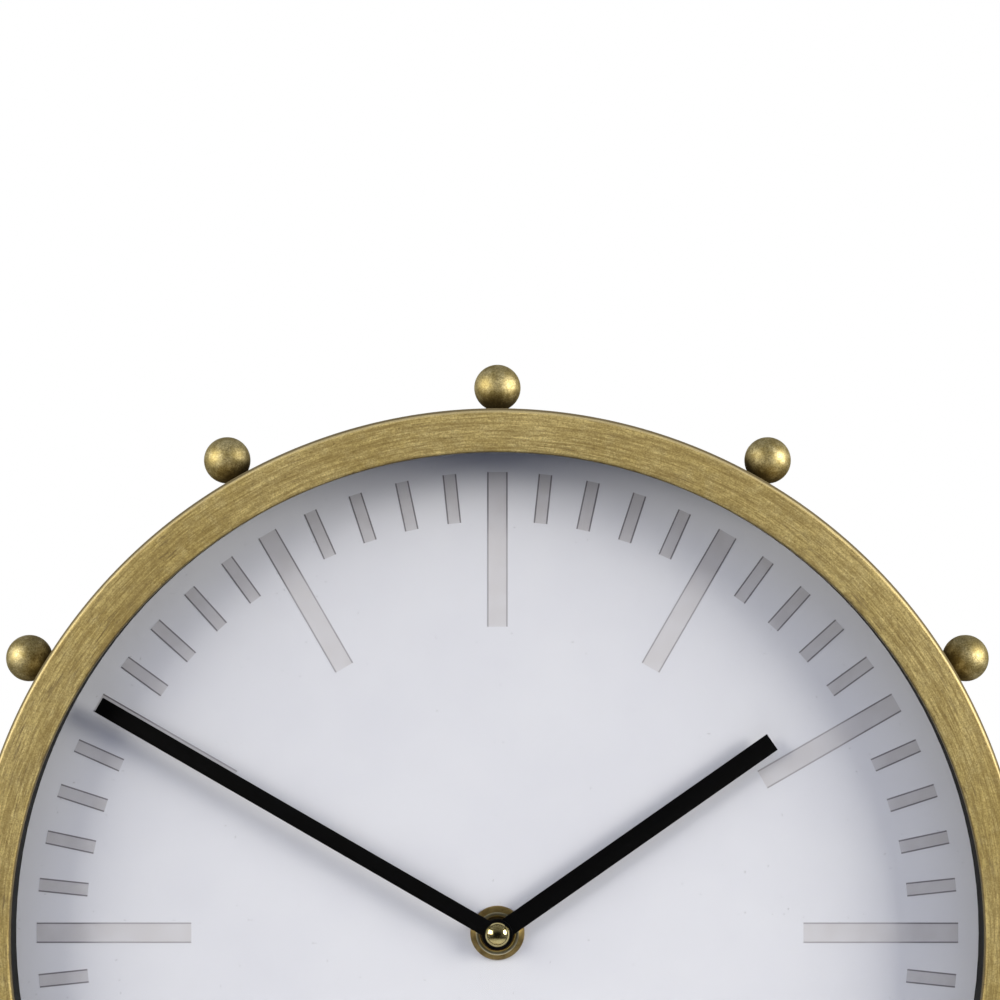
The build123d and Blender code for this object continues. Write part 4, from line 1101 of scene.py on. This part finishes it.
# Floor
# A plain pale table top under the feet, which takes the clock's soft shadow and fades out into the white
# background.
FLOOR_RADIUS = 0.45
FLOOR_FADE_START = 0.12
FLOOR_FADE_END = 0.42

bpy.ops.object.select_all(action="DESELECT")
bpy.ops.mesh.primitive_circle_add(vertices=128, radius=FLOOR_RADIUS, fill_type="NGON")
floor = bpy.context.object
floor.name = "floor"
floor_finish, wire = new_finish("pale_floor")
where = place_on_piece(wire)
floor_grain = noise(wire, where, 40, 3)
fade = rise(wire, wire.vector("LENGTH", where, output="Value"), FLOOR_FADE_START, FLOOR_FADE_END)
board = wire.node("ShaderNodeBsdfPrincipled", {}, {
    "Base Color": blend(wire, floor_grain, paint(214, 214, 214), paint(220, 220, 220)), "Roughness": 0.7,
})
clear = wire.node("ShaderNodeBsdfTransparent", {}, {})
wire.node("ShaderNodeOutputMaterial", {}, {
    "Surface": wire.node("ShaderNodeMixShader", {}, {0: fade, 1: board, 2: clear}),
})
floor.data.materials.append(floor_finish)

# Light
# Two large soft boxes far out to the sides of the dial and above it, the right one narrower and stronger.
# The room is white behind the clock, gives cold light from above, and is dark round the viewer.
RIGHT_WAY = Vector((0.90, -0.41, 0.250))
RIGHT_POWER = 70.0
RIGHT_WIDTH = 0.89
LEFT_WAY = Vector((-0.88, -0.455, 0.270))
LEFT_POWER = 58.0
LEFT_WIDTH = 1.80
BOX_DISTANCE = 2.4
BOX_HEIGHT = 1.10
BOX_RISE = 0.05
BOX_COLOUR = (1.0, 0.967, 0.872)
LOW_FILL = (0.100, 0.112, 0.165, 1)
HIGH_FILL = (0.77, 0.84, 1.09, 1)
BACK_FILL = (0.75, 0.75, 0.76, 1)
SIDE_GREY = 0.06
CEILING_GREY = 0.18
CEILING_BAND = (0.15, 0.75)
GROUND_BAND = (-0.05, -0.40)
GROUND_SHADE = 0.8
VIEWER_BAND = (-0.80, -0.95)
VIEWER_SHADE = 0.85
WALL_BAND = (0.93, 0.99)
BACK_BAND = (-0.10, 0.50)


def soft_box(name, way, width, power):
    """A large rectangular lamp that faces the dial from one direction and isn't seen itself."""
    bpy.ops.object.select_all(action="DESELECT")
    aim = Vector((0, 0, CENTRE + BOX_RISE))
    bpy.ops.object.light_add(type="AREA", location=aim + way.normalized() * BOX_DISTANCE)
    lamp = bpy.context.object
    lamp.name = name
    lamp.rotation_euler = way.to_track_quat("Z", "Y").to_euler()
    lamp.data.shape = "RECTANGLE"
    lamp.data.size = width
    lamp.data.size_y = BOX_HEIGHT
    lamp.data.energy = power
    lamp.data.color = BOX_COLOUR
    lamp.visible_camera = False


soft_box("right_box", RIGHT_WAY, RIGHT_WIDTH, RIGHT_POWER)
soft_box("left_box", LEFT_WAY, LEFT_WIDTH, LEFT_POWER)
room = bpy.data.worlds.new("room")
room.use_nodes = True
room.node_tree.nodes.clear()
bpy.context.scene.world = room
wire = Wire(room.node_tree)
way = wire.node("ShaderNodeTexCoord", {}, {}, "Object")
back_way = wire.node("ShaderNodeSeparateXYZ", {}, {0: way}, "Y")
up_way = wire.node("ShaderNodeSeparateXYZ", {}, {0: way}, "Z")
seen = wire.node("ShaderNodeLightPath", {}, {}, "Is Camera Ray")
mirrored = wire.node("ShaderNodeLightPath", {}, {}, "Is Glossy Ray")
mirrored = mirrored + wire.node("ShaderNodeLightPath", {}, {}, "Is Transmission Ray")
overhead = rise(wire, up_way, *CEILING_BAND)
grey = SIDE_GREY + overhead * (CEILING_GREY - SIDE_GREY)
grey = grey * (1 - rise(wire, up_way, *GROUND_BAND) * GROUND_SHADE)
grey = grey * (1 - rise(wire, back_way, *VIEWER_BAND) * VIEWER_SHADE)
grey = grey + rise(wire, back_way, *WALL_BAND) * (1 - grey)
fill = blend(wire, overhead, LOW_FILL, HIGH_FILL)
fill = blend(wire, rise(wire, back_way, *BACK_BAND), fill, BACK_FILL)
lit = blend(wire, mirrored, fill, grey)
background = wire.node("ShaderNodeBackground", {}, {"Color": blend(wire, seen, lit, (1, 1, 1, 1))})
wire.node("ShaderNodeOutputWorld", {}, {"Surface": background})
bpy.context.scene.view_settings.view_transform = "Standard"

# Camera
# The photograph is taken level and straight on from about 0.9 m, with a long lens, and its frame is centred
# well above the hands' axis.
CAMERA_SIDE = 0.0007
CAMERA_DISTANCE = 0.912
CAMERA_RISE = 0.1162
CAMERA_LENS = 121.0
CAMERA_SENSOR = 36

bpy.ops.object.select_all(action="DESELECT")
bpy.ops.object.camera_add(
    location=(CAMERA_SIDE, -CAMERA_DISTANCE, CENTRE + CAMERA_RISE), rotation=(pi / 2, 0, 0)
)
camera = bpy.context.object
camera.data.lens = CAMERA_LENS
camera.data.sensor_width = CAMERA_SENSOR
bpy.context.scene.camera = camera
